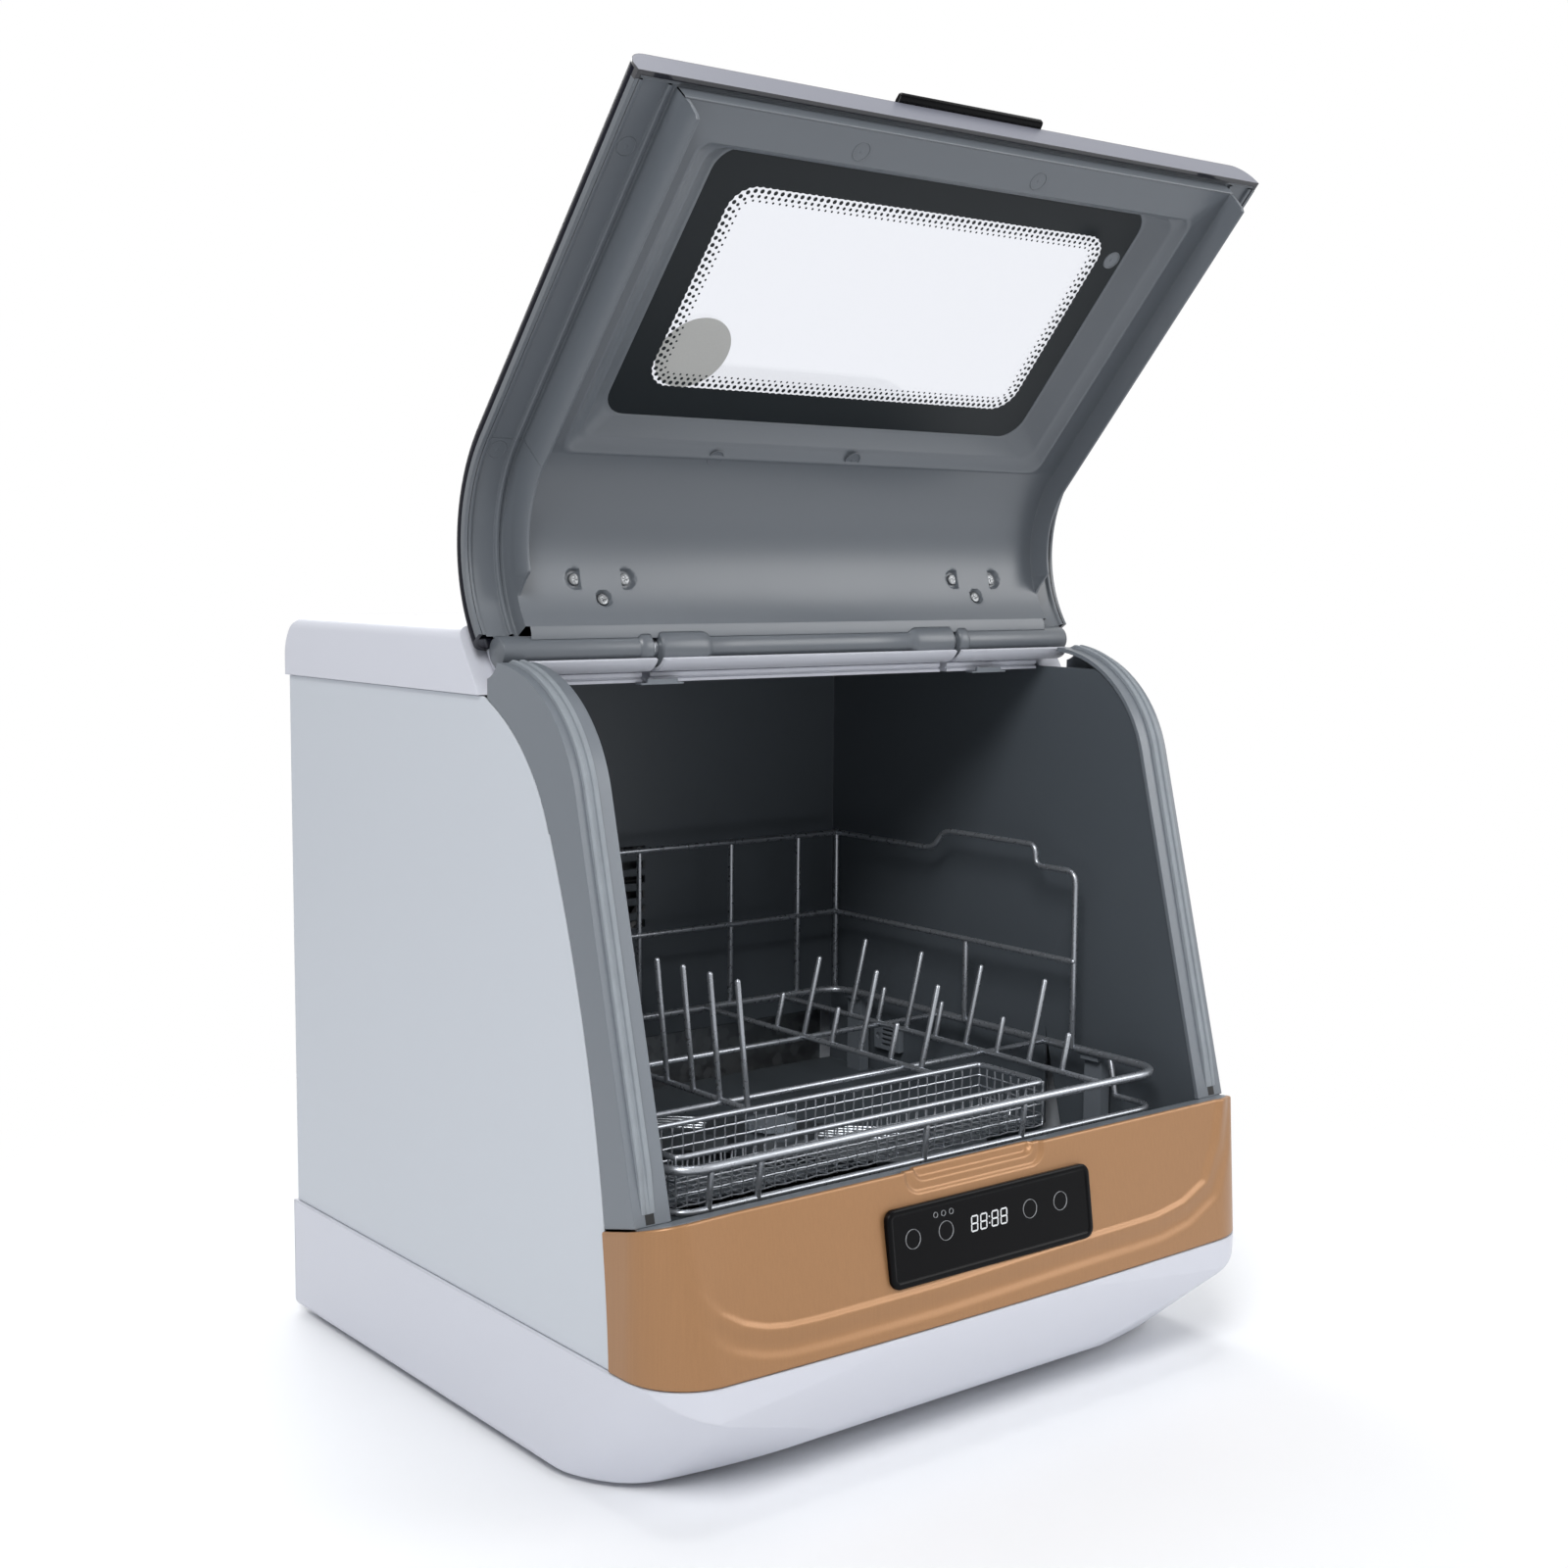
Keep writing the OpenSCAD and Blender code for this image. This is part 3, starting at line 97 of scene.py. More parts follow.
def linear(hexcode):
    """Turns an sRGB hex colour into linear RGBA."""
    parts = [int(hexcode[i : i + 2], 16) / 255 for i in (1, 3, 5)]
    return [c / 12.92 if c <= 0.04045 else ((c + 0.055) / 1.055) ** 2.4 for c in parts] + [1.0]


def smooth(t):
    """Eases from 0 to 1."""
    t = min(max(t, 0.0), 1.0)
    return t * t * (3 - 2 * t)


def shade(rgba, by, more=0.0):
    """A lighter or darker version of a linear colour."""
    return [min(c * by + more, 1) for c in rgba[:3]] + [1]


def colour(name, about, hexcode):
    """A colour that can be set in the sidebar."""
    return bpy.props.FloatVectorProperty(
        name=name, description=about, subtype="COLOR", size=4, min=0, max=1, default=linear(hexcode)
    )


def length(name, about, metres):
    """A length that can be set in the sidebar."""
    return bpy.props.FloatProperty(
        name=name, description=about, subtype="DISTANCE", unit="LENGTH", min=0, precision=5, default=metres
    )


class DishwasherSizes(bpy.types.PropertyGroup):
    """Sizes that only the looks depend on."""

    crease_depth: length("Crease depth", "Step of the soft crease in the coloured panel", 0.0014)
    recess_depth: length("Thumb recess depth", "Depth of the thumb recess in the coloured panel", 0.0042)
    rail_radius: length("Rail radius", "Radius of the rack's rails", 0.0025)
    wire_radius: length("Wire radius", "Radius of the rack's thinner wires", 0.0018)
    tine_radius: length("Tine radius", "Radius of the rack's tines", 0.0017)
    mesh_pitch: length("Basket mesh pitch", "Spacing of the basket's woven wires", 0.0069)
    mesh_wire: length("Basket wire radius", "Radius of the basket's woven wires", 0.00055)
    dot_pitch: length("Dot pitch", "Spacing of the printed dots round the window", 0.0042)
    screw_radius: length("Screw radius", "Radius of the screw heads in the lid", 0.0034)


class DishwasherColours(bpy.types.PropertyGroup):
    """Colours of the main finishes."""

    white: colour("White plastic", "Base and cap", "#D3D5DE")
    sides: colour("Side sheet", "Powder-coated side panels", "#C9CED5")
    gold: colour("Copper gold", "Front panel", "#9E744D")
    grey: colour("Grey plastic", "Rim, lid frame and trim", "#737980")
    shell: colour("Lid shell", "Outer shell of the lid", "#12131D")
    black: colour("Black plastic", "Control plate and pull", "#060608")
    tub: colour("Tub", "Inside of the tub", "#52585E")
    steel: colour("Stainless steel", "Wires, spray arm and screws", "#BFC3C8")
    floor: colour("Floor", "Surface it stands on", "#F4F5F7")


def rim_point(x, s, off):
    """A point of the closed lid: across, along the rim from its lower end, and outward from it."""
    if s <= RIM_LEN:
        c, n = math.cos(LEAN), math.sin(LEAN)
        return (x, RIM_Y - off * c + s * n, RIM_Z + off * n + s * c)
    turn = ARC - (min(s, CROWN_S) - RIM_LEN) / RIM_R
    beyond = max(s - CROWN_S, 0)
    return (x, ARC_Y - (RIM_R + off) * math.sin(turn) + beyond, ARC_Z + (RIM_R + off) * math.cos(turn))


def swing(p):
    """Swings a point of the closed lid to where the lid stands open."""
    y, z = p[1] - HINGE_Y, p[2] - HINGE_Z
    c, s = math.cos(LID_OPEN), math.sin(LID_OPEN)
    return (p[0], HINGE_Y + y * c - z * s, HINGE_Z + y * s + z * c)


def lid_point(x, s, off):
    """The same place on the open lid."""
    return swing(rim_point(x, s, off))


def lid_ring(outline, off):
    """An outline of (across, along) places on the open lid, all as far out."""
    return [lid_point(x, s, off) for x, s in outline]


def lid_rows(xs, profile):
    """Rows straight across the open lid, one for each (along, outward) place of a profile."""
    return [[lid_point(x, s, off) for x in xs] for s, off in profile]


def lid_section(sign, s, profile):
    """A section of (across, outward) places through one side of the open lid."""
    return [lid_point(sign * x, s, off) for x, off in profile]


def plate_point(x, up, out):
    """A point of the control plate: across, up its face, and out of it."""
    c, s = math.cos(PLATE_TILT), math.sin(PLATE_TILT)
    out += PLATE_SINK
    return (x, PLATE_Y - out * c + up * s, PLATE_Z + out * s + up * c)


def circle(cx, cy, r, n, first=0.0):
    """Points round a circle, counter-clockwise."""
    turns = [first + math.tau * k / n for k in range(n)]
    return [(cx + r * math.cos(a), cy + r * math.sin(a)) for a in turns]


def rounded(hx, hy, r, n=8, cx=0.0, cy=0.0, side=10):
    """A rounded rectangle's outline, counter-clockwise, with as many points whatever its size."""
    corners = []
    for k, (x, y) in enumerate(((hx - r, hy - r), (r - hx, hy - r), (r - hx, r - hy), (hx - r, r - hy))):
        turns = [math.radians(90 * (k + i / n)) for i in range(n + 1)]
        corners.append([(cx + x + r * math.cos(a), cy + y + r * math.sin(a)) for a in turns])
    pts = []
    for corner, after in zip(corners, corners[1:] + corners[:1]):
        a, b = corner[-1], after[0]
        pts += corner
        pts += [(a[0] + (b[0] - a[0]) * i / side, a[1] + (b[1] - a[1]) * i / side) for i in range(1, side)]
    return pts


def even(a, b, n):
    """Values from a to b in n equal steps."""
    return [a + (b - a) * i / n for i in range(n + 1)]


def spread(stops):
    """Values that run through stops given as (value, step to the next stop)."""
    out = []
    for (a, step), (b, _) in zip(stops, stops[1:]):
        n = max(1, round(abs(b - a) / step))
        out += [a + (b - a) * i / n for i in range(n)]
    return out + [stops[-1][0]]


class Skin:
    """Collects the vertices and faces of one piece, in millimetres."""

    def __init__(self):
        self.verts, self.faces = [], []

    def loft(self, rows, wrap=False, loop=False):
        """Joins rows of points that all have the same count."""
        start, n = len(self.verts), len(rows[0])
        for row in rows:
            self.verts += row
        last = len(rows) if loop else len(rows) - 1
        for i in range(last):
            for j in range(n if wrap else n - 1):
                a, b = start + i * n, start + ((i + 1) % len(rows)) * n
                self.faces.append((a + j, a + (j + 1) % n, b + (j + 1) % n, b + j))

    def cap(self, row):
        """Fills an outline with a fan round its middle."""
        start, n = len(self.verts), len(row)
        self.verts += row + [tuple(sum(p[k] for p in row) / n for k in range(3))]
        self.faces += [(start + j, start + (j + 1) % n, start + n) for j in range(n)]

    def tube(self, points, r, sides=10, bend=0.0, ring=False):
        """A round wire through points, with its corners bent to a radius."""
        pts = [Vector(p) for p in points]
        path = []
        count = len(pts)
        for i, p in enumerate(pts):
            if bend <= 0 or (not ring and i in (0, count - 1)):
                path.append(p)
                continue
            a, b = (pts[i - 1] - p), (pts[(i + 1) % count] - p)
            reach = min(bend, a.length * 0.48, b.length * 0.48)
            p0, p1 = p + a.normalized() * reach, p + b.normalized() * reach
            steps = (0, 0.17, 0.33, 0.5, 0.67, 0.83, 1)
            path += [(1 - t) ** 2 * p0 + 2 * t * (1 - t) * p + t * t * p1 for t in steps]
        n = len(path)
        side = None
        rows = []
        for i, p in enumerate(path):
            before = path[i - 1] if (i or ring) else p
            after = path[(i + 1) % n] if (i < n - 1 or ring) else p
            along = (after - before).normalized()
            if side is None:
                side = along.cross(Vector((0.31, 0.27, 0.91))).normalized()
            side = (side - along * side.dot(along)).normalized()
            rows.append((p, side.copy(), along))

        def turn(row, ahead=0.0, full=1.0):
            """A ring round the wire, a share of its radius ahead and as full as asked."""
            p, u, w = row
            v = w.cross(u)
            middle = p + w * r * ahead
            return [tuple(middle + (u * c + v * s) * r * full) for c, s in circle(0, 0, 1, sides)]

        body = [turn(row) for row in rows]
        if ring:
            self.loft(body, wrap=True, loop=True)
            return
        head = [turn(rows[0], -0.92, 0.35), turn(rows[0], -0.6, 0.8)]
        tail = [turn(rows[-1], 0.6, 0.8), turn(rows[-1], 0.92, 0.35)]
        self.loft(head + body + tail, wrap=True)
        self.cap(head[0])
        self.cap(tail[-1])


def piece(name, skin, finish, body, nodes=(), crisp=32.0):
    """Makes an object of a skin, gives it its finish and fixes it to a CAD body."""
    mesh = bpy.data.meshes.new(name)
    mesh.from_pydata([(x / 1000, y / 1000, z / 1000) for x, y, z in skin.verts], [], skin.faces)
    mesh.validate()
    mesh.shade_smooth()
    mesh.set_sharp_from_angle(angle=math.radians(crisp))
    mesh.materials.append(finish)
    ob = bpy.data.objects.new(name, mesh)
    bpy.context.scene.collection.objects.link(ob)
    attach(ob, body)
    if nodes:
        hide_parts(*nodes)
    return ob


def dress(finish, *nodes):
    """Gives CAD nodes a finish."""
    for node in nodes:
        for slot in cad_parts[node].material_slots:
            slot.material = finish


def add(tree, kind, settings=None, links=None):
    """Adds a node with its settings and links."""
    node = tree.nodes.new(kind)
    for key, value in (settings or {}).items():
        if isinstance(key, int) or key in node.inputs:
            node.inputs[key].default_value = value
        else:
            setattr(node, key, value)
    for key, socket in (links or {}).items():
        tree.links.new(socket, node.inputs[key])
    return node


def surface(name, settings):
    """A new material: the material, its tree, its one Principled shader and the object's coordinates."""
    found = bpy.data.materials.get(name)
    if found:
        bpy.data.materials.remove(found)
    mat = bpy.data.materials.new(name)
    mat.use_nodes = True
    tree = mat.node_tree
    tree.nodes.clear()
    shader = add(tree, "ShaderNodeBsdfPrincipled", settings)
    add(tree, "ShaderNodeOutputMaterial", {}, {"Surface": shader.outputs[0]})
    return mat, tree, shader, add(tree, "ShaderNodeTexCoord").outputs["Object"]


def noise(tree, where, scale, detail):
    """A noise pattern with so many features in a metre."""
    settings = {"Scale": scale, "Detail": detail}
    return add(tree, "ShaderNodeTexNoise", settings, {"Vector": where}).outputs["Fac"]


def drawn_out(tree, where, scales):
    """Noise drawn out into lines, by its scale along each axis."""
    return add(tree, "ShaderNodeMapping", {"Scale": scales}, {"Vector": where}).outputs[0]


def tint(tree, share, low, high):
    """A colour between two others."""
    return add(tree, "ShaderNodeMix", {"data_type": "RGBA", 6: low, 7: high}, {0: share}).outputs[2]


def between(tree, share, low, high):
    """A value between two others."""
    return add(tree, "ShaderNodeMapRange", {"To Min": low, "To Max": high}, {"Value": share}).outputs[0]


def either(tree, a, b):
    """One where either of two ray tests is one."""
    settings = {"operation": "ADD", "use_clamp": True}
    return add(tree, "ShaderNodeMath", settings, {0: a, 1: b}).outputs[0]


def relief(tree, height, strength, depth_mm, edge_mm=0.0):
    """Fine relief on the surface, with its sharp edges softened if a radius is given."""
    links = {"Height": height}
    if edge_mm:
        links["Normal"] = add(tree, "ShaderNodeBevel", {"samples": 4, "Radius": edge_mm / 1000}).outputs[0]
    return add(tree, "ShaderNodeBump", {"Strength": strength, "Distance": depth_mm / 1000}, links).outputs[0]


def feed(tree, shader, sockets):
    """Joins outputs to the shader's inputs."""
    for key, socket in sockets.items():
        tree.links.new(socket, shader.inputs[key])


def moulded_plastic(name, rgba, roughness, grain_mm, relief_mm, edge_mm=0.6, coat=0.0, shine=0.5):
    """Injection-moulded plastic: a faint mould grain, handling haze in the gloss and soft moulded edges."""
    gloss = {"IOR": 1.49, "Specular IOR Level": shine, "Coat Weight": coat, "Coat Roughness": 0.05}
    mat, tree, shader, where = surface(name, {"Base Color": rgba, **gloss})
    haze = noise(tree, where, 22.0, 3.0)
    grain = noise(tree, where, 1000 / grain_mm, 1.0)
    feed(tree, shader, {
        "Roughness": between(tree, haze, roughness * 0.88, roughness * 1.12),
        "Normal": relief(tree, grain, 0.35, relief_mm, edge_mm),
    })
    return mat


def powder_coat(name, rgba):
    """Powder-coated steel sheet: satin, with the fine orange peel of baked powder."""
    mat, tree, shader, where = surface(name, {"Base Color": rgba, "Roughness": 0.42, "IOR": 1.5})
    peel = noise(tree, where, 700.0, 2.0)
    feed(tree, shader, {"Normal": relief(tree, peel, 0.25, 0.08, 0.8)})
    return mat


def copper_lacquer(name, rgba):
    """Copper-gold lacquer on plastic: satin, with upright brush lines and flakes under a clear coat."""
    settings = {"Metallic": 0.35, "Roughness": 0.40, "IOR": 1.5, "Coat Weight": 0.15, "Coat Roughness": 0.3}
    mat, tree, shader, where = surface(name, settings)
    brush = noise(tree, drawn_out(tree, where, (900.0, 900.0, 14.0)), 1.0, 3.0)
    flakes = noise(tree, where, 1600.0, 0.0)
    both = add(tree, "ShaderNodeMix", {"data_type": "FLOAT", 0: 0.35}, {2: brush, 3: flakes}).outputs[0]
    feed(tree, shader, {
        "Base Color": tint(tree, both, shade(rgba, 0.90), shade(rgba, 1.10)),
        "Normal": relief(tree, brush, 0.2, 0.04),
    })
    return mat


def brushed_steel(name, rgba, roughness, lines=(900.0, 40.0, 900.0), metal=1.0):
    """Stainless steel, rolled and brushed: fine parallel lines that stretch the reflections."""
    mat, tree, shader, where = surface(name, {"Metallic": metal, "Base Color": rgba})
    brush = noise(tree, drawn_out(tree, where, lines), 1.0, 4.0)
    feed(tree, shader, {
        "Roughness": between(tree, brush, roughness * 0.75, roughness * 1.3),
        "Normal": relief(tree, brush, 0.15, 0.04),
    })
    return mat


def zinc_sheet(name):
    """Hot-dip galvanised sheet: grey zinc with a spangle of crystals 6 mm across."""
    mat, tree, shader, where = surface(name, {"Metallic": 0.9})
    spangle = add(tree, "ShaderNodeTexVoronoi", {"Scale": 160.0}, {"Vector": where}).outputs["Color"]
    feed(tree, shader, {
        "Base Color": tint(tree, spangle, linear("#8E9296"), linear("#AEB2B6")),
        "Roughness": between(tree, spangle, 0.32, 0.5),
    })
    return mat


def soft_rubber(name, rgba):
    """Extruded rubber: matt, with a dry bloom."""
    mat, tree, shader, where = surface(name, {"IOR": 1.52, "Roughness": 0.62})
    bloom = noise(tree, where, 90.0, 4.0)
    feed(tree, shader, {"Base Color": tint(tree, bloom, rgba, shade(rgba, 1.3, 0.004))})
    return mat


def circuit_board(name):
    """Glass-epoxy board under green solder mask: glossy, with paler tracks."""
    mat, tree, shader, where = surface(name, {"Roughness": 0.3})
    greens = {"Color1": linear("#14532D"), "Color2": linear("#1B6B3A"), "Mortar": linear("#3B8C55")}
    tracks = add(tree, "ShaderNodeTexBrick", {"Scale": 160.0, **greens}, {"Vector": where})
    feed(tree, shader, {"Base Color": tracks.outputs["Color"]})
    return mat


def window_pane(name):
    """Toughened float glass: clear, smooth, faintly blue."""
    settings = {"Base Color": linear("#EEF0F6"), "Roughness": 0.0, "IOR": 1.5, "Transmission Weight": 1.0}
    mat, tree, shader, where = surface(name, settings)
    feed(tree, shader, {"Normal": relief(tree, noise(tree, where, 9.0, 0.0), 0.05, 0.1)})
    return mat


def printed_ink(name, rgba, roughness, shine=0.5):
    """Screen-printed enamel ink: thin, even and slightly mottled."""
    mat, tree, shader, where = surface(name, {"Roughness": roughness, "Specular IOR Level": shine})
    mottle = noise(tree, where, 1200.0, 2.0)
    feed(tree, shader, {"Base Color": tint(tree, mottle, shade(rgba, 0.9), rgba)})
    return mat


FINISHES = {}


def finish(name):
    """The finish of that name, made the first time it is asked for."""
    if name in FINISHES:
        return FINISHES[name]
    c = bpy.context.scene.dishwasher_colours
    makers = {
        # ABS, injection moulded and polished: cool white with a soft gloss
        "white_abs": lambda: moulded_plastic("white_moulded_abs", c.white, 0.30, 0.5, 0.02, edge_mm=0.9),
        # steel sheet under baked powder: a shade duller and greyer than the plastic
        "side_sheet": lambda: powder_coat("powder_coated_steel", c.sides),
        # lacquered ABS: warm satin metal look
        "gold": lambda: copper_lacquer("copper_gold_lacquer", c.gold),
        # ABS with a fine mould grain: mid grey, half matt
        "grey_abs": lambda: moulded_plastic("grey_moulded_abs", c.grey, 0.34, 0.45, 0.02),
        # the same ABS in the lid, with painted shade: its grey darkened to 0.7 for the shade on the lid's
        # inside
        "lid_grey": lambda: moulded_plastic("shaded_lid_grey_abs", shade(c.grey, 0.7), 0.32, 0.45, 0.02),
        # PP in the tub, wet-room satin
        "tub": lambda: moulded_plastic("grey_tub_polypropylene", c.tub, 0.38, 0.6, 0.03, edge_mm=1.2),
        # PMMA-capped ABS: deep piano gloss
        "shell": lambda: moulded_plastic("dark_gloss_lid_acrylic", c.shell, 0.12, 0.8, 0.004, 0.8, coat=0.4),
        # the same acrylic in black, on the touch plate and the pull
        "black": lambda: moulded_plastic("black_gloss_acrylic", c.black, 0.12, 0.8, 0.003, 1.0, shine=0.1),
        # satin ABS capping round the lid's long edges
        "edge": lambda: moulded_plastic("satin_dark_edge_abs", c.shell, 0.4, 0.8, 0.004, shine=0.03),
        # painted reflection: satin ABS of the lid's front edge, painted paler than the shell for the white
        # that the glossy shell reflects there
        "rim_reflection": lambda: moulded_plastic("reflection_painted_edge_abs", linear("#72747F"), 0.35, 0.8, 0.004),
        # the white ABS of the base, with broader moulded roundings
        "base_abs": lambda: moulded_plastic("white_base_abs", c.white, 0.30, 0.5, 0.02, edge_mm=2.4),
        # glass-filled PP of hidden housings: dull charcoal
        "dark_pp": lambda: moulded_plastic(
            "charcoal_filled_polypropylene", linear("#2A2C2F"), 0.5, 0.7, 0.05
        ),
        # unpigmented PP of the valve body
        "cream_pp": lambda: moulded_plastic("natural_polypropylene", linear("#CFD0C8"), 0.4, 0.7, 0.03),
        # glass-filled PPS of the pump wheel
        "brown_pps": lambda: moulded_plastic("brown_pump_polymer", linear("#7A5C40"), 0.4, 0.7, 0.03),
        # bare galvanised steel of the back
        "zinc": lambda: zinc_sheet("galvanised_sheet"),
        # silicone and EPDM rubber
        "seal": lambda: soft_rubber("grey_silicone_seal", linear("#83898F")),
        "rubber": lambda: soft_rubber("black_rubber", linear("#1B1C1E")),
        # bright drawn wire, without the rolled sheet's long lines
        "wire": lambda: brushed_steel("drawn_stainless_wire", linear("#A4A8AE"), 0.28, (300.0,) * 3, 0.7),
        # stainless sheet of the arm and filter, and turned screws
        "steel": lambda: brushed_steel("brushed_stainless_sheet", c.steel, 0.30),
        "screw": lambda: brushed_steel("turned_stainless_screw", linear("#7C7E80"), 0.34),
        # FR4 board under solder mask
        "board": lambda: circuit_board("green_circuit_board"),
        # toughened float glass
        "glass": lambda: window_pane("toughened_window_glass"),
        # ceramic ink fired on the glass: near black, satin
        "frit": lambda: printed_ink("black_ceramic_frit", linear("#171D21"), 0.35, 0.2),
        # ink of the marks on the touch plate
        "mark": lambda: printed_ink("pale_screen_ink", linear("#B9BBBE"), 0.5),
        # paler ink for the lit segments of the clock
        "digit": lambda: printed_ink("display_segment_ink", linear("#E4E6E8"), 0.4),
        # polyester film disc: milky grey, half see-through
        "film": lambda: printed_ink("milky_polyester_film", linear("#BCBCB9"), 0.5, 0.3),
        # painted shade: black quads that stand in for the shade inside the seal's open ends
        "hole": lambda: soft_rubber("painted_shade_cavity", linear("#08090A")),
    }
    FINISHES[name] = makers[name]()
    return FINISHES[name]


class DISHWASHER_OT_body(bpy.types.Operator):
    """Finishes the base, the cap, the side sheets and the other pieces of the body."""

    bl_idname = "dishwasher.body"
    bl_label = "Body"

    def execute(self, context):
        dress(finish("base_abs"), "base_tray")
        dress(finish("white_abs"), "top_cap", "opening_lip")
        dress(finish("side_sheet"), "side_panel_left", "side_panel_right")
        dress(finish("zinc"), "back_panel")
        dress(finish("rubber"), "rubber_feet")
        dress(finish("grey_abs"), "front_frame", "lip_clips", "air_vent", "riser", "riser_cap", "rack_feet")
        dress(finish("tub"), "tub")
        dress(finish("dark_pp"), "sump", "filter_cup", "pump_housing", "drain_pump", "drain_outlet")
        dress(finish("dark_pp"), "power_inlet", "door_switch", "fan_frame", "fan_rotor")
        dress(finish("cream_pp"), "inlet_valve")
        dress(finish("brown_pps"), "pump_rotor")
        dress(finish("steel"), "filter_plate", "water_inlet", "flow_heater", "hinge_arms", "hinge_pins")
        dress(finish("board"), "control_board")
        return {"FINISHED"}


def panel_plan(place, z):
    """A place on the coloured panel's face: x, y, outward direction and distance along the panel."""
    t = (z - PANEL_LOW) / PANEL_RISE
    r, front, bow = 36 - 14 * t, -196.7 + 12.4 * t, 3.3 - 2.5 * t
    kind, f = place
    sign = -1 if kind.startswith("left") or f < 0 else 1
    flat = HALF_W - r
    if kind == "front":
        x = f * flat
        return x, front - bow * max(0.0, 1 - (x / 179) ** 2), 0.0, -1.0, x
    if kind.endswith("corner"):
        a = math.radians(90 * f)
        c, n = math.cos(a), math.sin(a)
        return sign * (flat + r * n), front + r - r * c, sign * n, -c, sign * (flat + r * a)
    rear = SWEEP_Y - math.sqrt(SWEEP_R**2 - (z - SWEEP_Z) ** 2)
    start = front + r
    run = (rear - start) * f
    return sign * HALF_W, start + run, float(sign), 0.0, sign * (flat + r * math.pi / 2 + run)


def panel_top(y):
    """Height of the coloured panel's top edge, which runs below the closed lid's edge."""
    return RIM_Z - RIM_GAP * math.cos(LEAN) - (y - RIM_Y + RIM_GAP * math.sin(LEAN)) * math.tan(LEAN)


def crease_inset(u, z, depth):
    """How far the face is set back by the soft crease at a place along the panel and a height."""
    begin, end, fade_in = -204, 214, 40
    if not begin < u <= end:
        return 0.0
    near, far = math.inf, 0.0
    for (ax, az), (bx, bz) in zip(CREASE, CREASE[1:]):
        dx, dz = bx - ax, bz - az
        t = min(max(((u - ax) * dx + (z - az) * dz) / (dx * dx + dz * dz), 0), 1)
        px, pz = u - ax - dx * t, z - az - dz * t
        d = math.hypot(px, pz)
        if d < near:
            near, far = d, math.copysign(d, dx * pz - dz * px)
    # the step's near edge and width, then the hollow below it and the way back up
    ease, slope, gutter, climb = 1.3, 2.9, 9, 6
    step = smooth((far + ease) / slope)
    below = -far - ease
    if below > 0:
        step += 0.75 * smooth(below / gutter if below < gutter else 1 - (below - gutter) / climb)
    return depth * step * smooth((u - begin) / fade_in)


def recess_inset(u, z, top, depth):
    """How far the face is set back in the thumb recess."""
    inset = 0.0
    for middle, half, drop, r, share, edge in RECESS:
        dx, dz = abs(u - middle) - (half - r), (top - drop + r) - z
        d = math.hypot(max(dx, 0), max(dz, 0)) - r + min(max(dx, dz), 0)
        inset += depth * share * smooth(-d / edge)
    return inset


class DISHWASHER_OT_front_panel(bpy.types.Operator):
    """Builds the coloured front panel with its crease and thumb recess."""

    bl_idname = "dishwasher.front_panel"
    bl_label = "Front panel"

    def execute(self, context):
        sizes = context.scene.dishwasher_sizes
        depth, recess = sizes.crease_depth * 1000, sizes.recess_depth * 1000
        across = spread([(-1, 0.0134), (-0.36, 0.0062), (0.32, 0.0134), (1, 1)])
        turn = [(i + 1) / 22 for i in range(22)]
        side = [(i + 1) / 12 for i in range(12)]
        places = [("left", f) for f in side[::-1]] + [("left_corner", f) for f in turn[::-1]]
        places += [("front", f) for f in across]
        places += [("right_corner", f) for f in turn] + [("right", f) for f in side]
        places = [places[0], *places, places[-1]]
        low, rows, end_step = PANEL_LOW + 0.4, 104, 1.6
        columns = []
        for k, place in enumerate(places):
            top = RIM_Z
            for _ in range(5):
                top = panel_top(panel_plan(place, top)[1])
            foot, head = low + 0.7, top - 0.9
            # each step is a height and how far the edge rolls back there
            steps = [(low, 3.0), (low, 1.0), (low + 0.25, 0.35), (foot, 0.0)]
            steps += [(foot + (head - foot) * i / rows, 0.0) for i in range(1, rows + 1)]
            steps += [(top - 0.35, 0.2), (top - 0.08, 0.6), (top, 1.2), (top - 0.5, 3.0)]
            column = []
            for z, roll in steps:
                x, y, nx, ny, u = panel_plan(place, z)
                inset = roll + crease_inset(u, z, depth) + recess_inset(u, z, top, recess)
                if k in (0, len(places) - 1):
                    inset += end_step
                column.append((x - nx * inset, y - ny * inset, z))
            columns.append(column)
        skin = Skin()
        skin.loft(columns)
        piece("gold_front_panel", skin, finish("gold"), "cabinet", ["front_panel"], crisp=50)
        return {"FINISHED"}


def plate_ring(skin, cx, cy, r, n):
    """A thin ring on the control plate, with n steps to each quarter."""
    rows = []
    for grow, out in ((0, -0.1), (0, -0.42), (0.3, -0.42), (0.3, -0.1)):
        size = r + grow
        rows.append([plate_point(x, y, out) for x, y in rounded(size, size, size, n, cx, cy, 1)])
    skin.loft(rows, wrap=True)


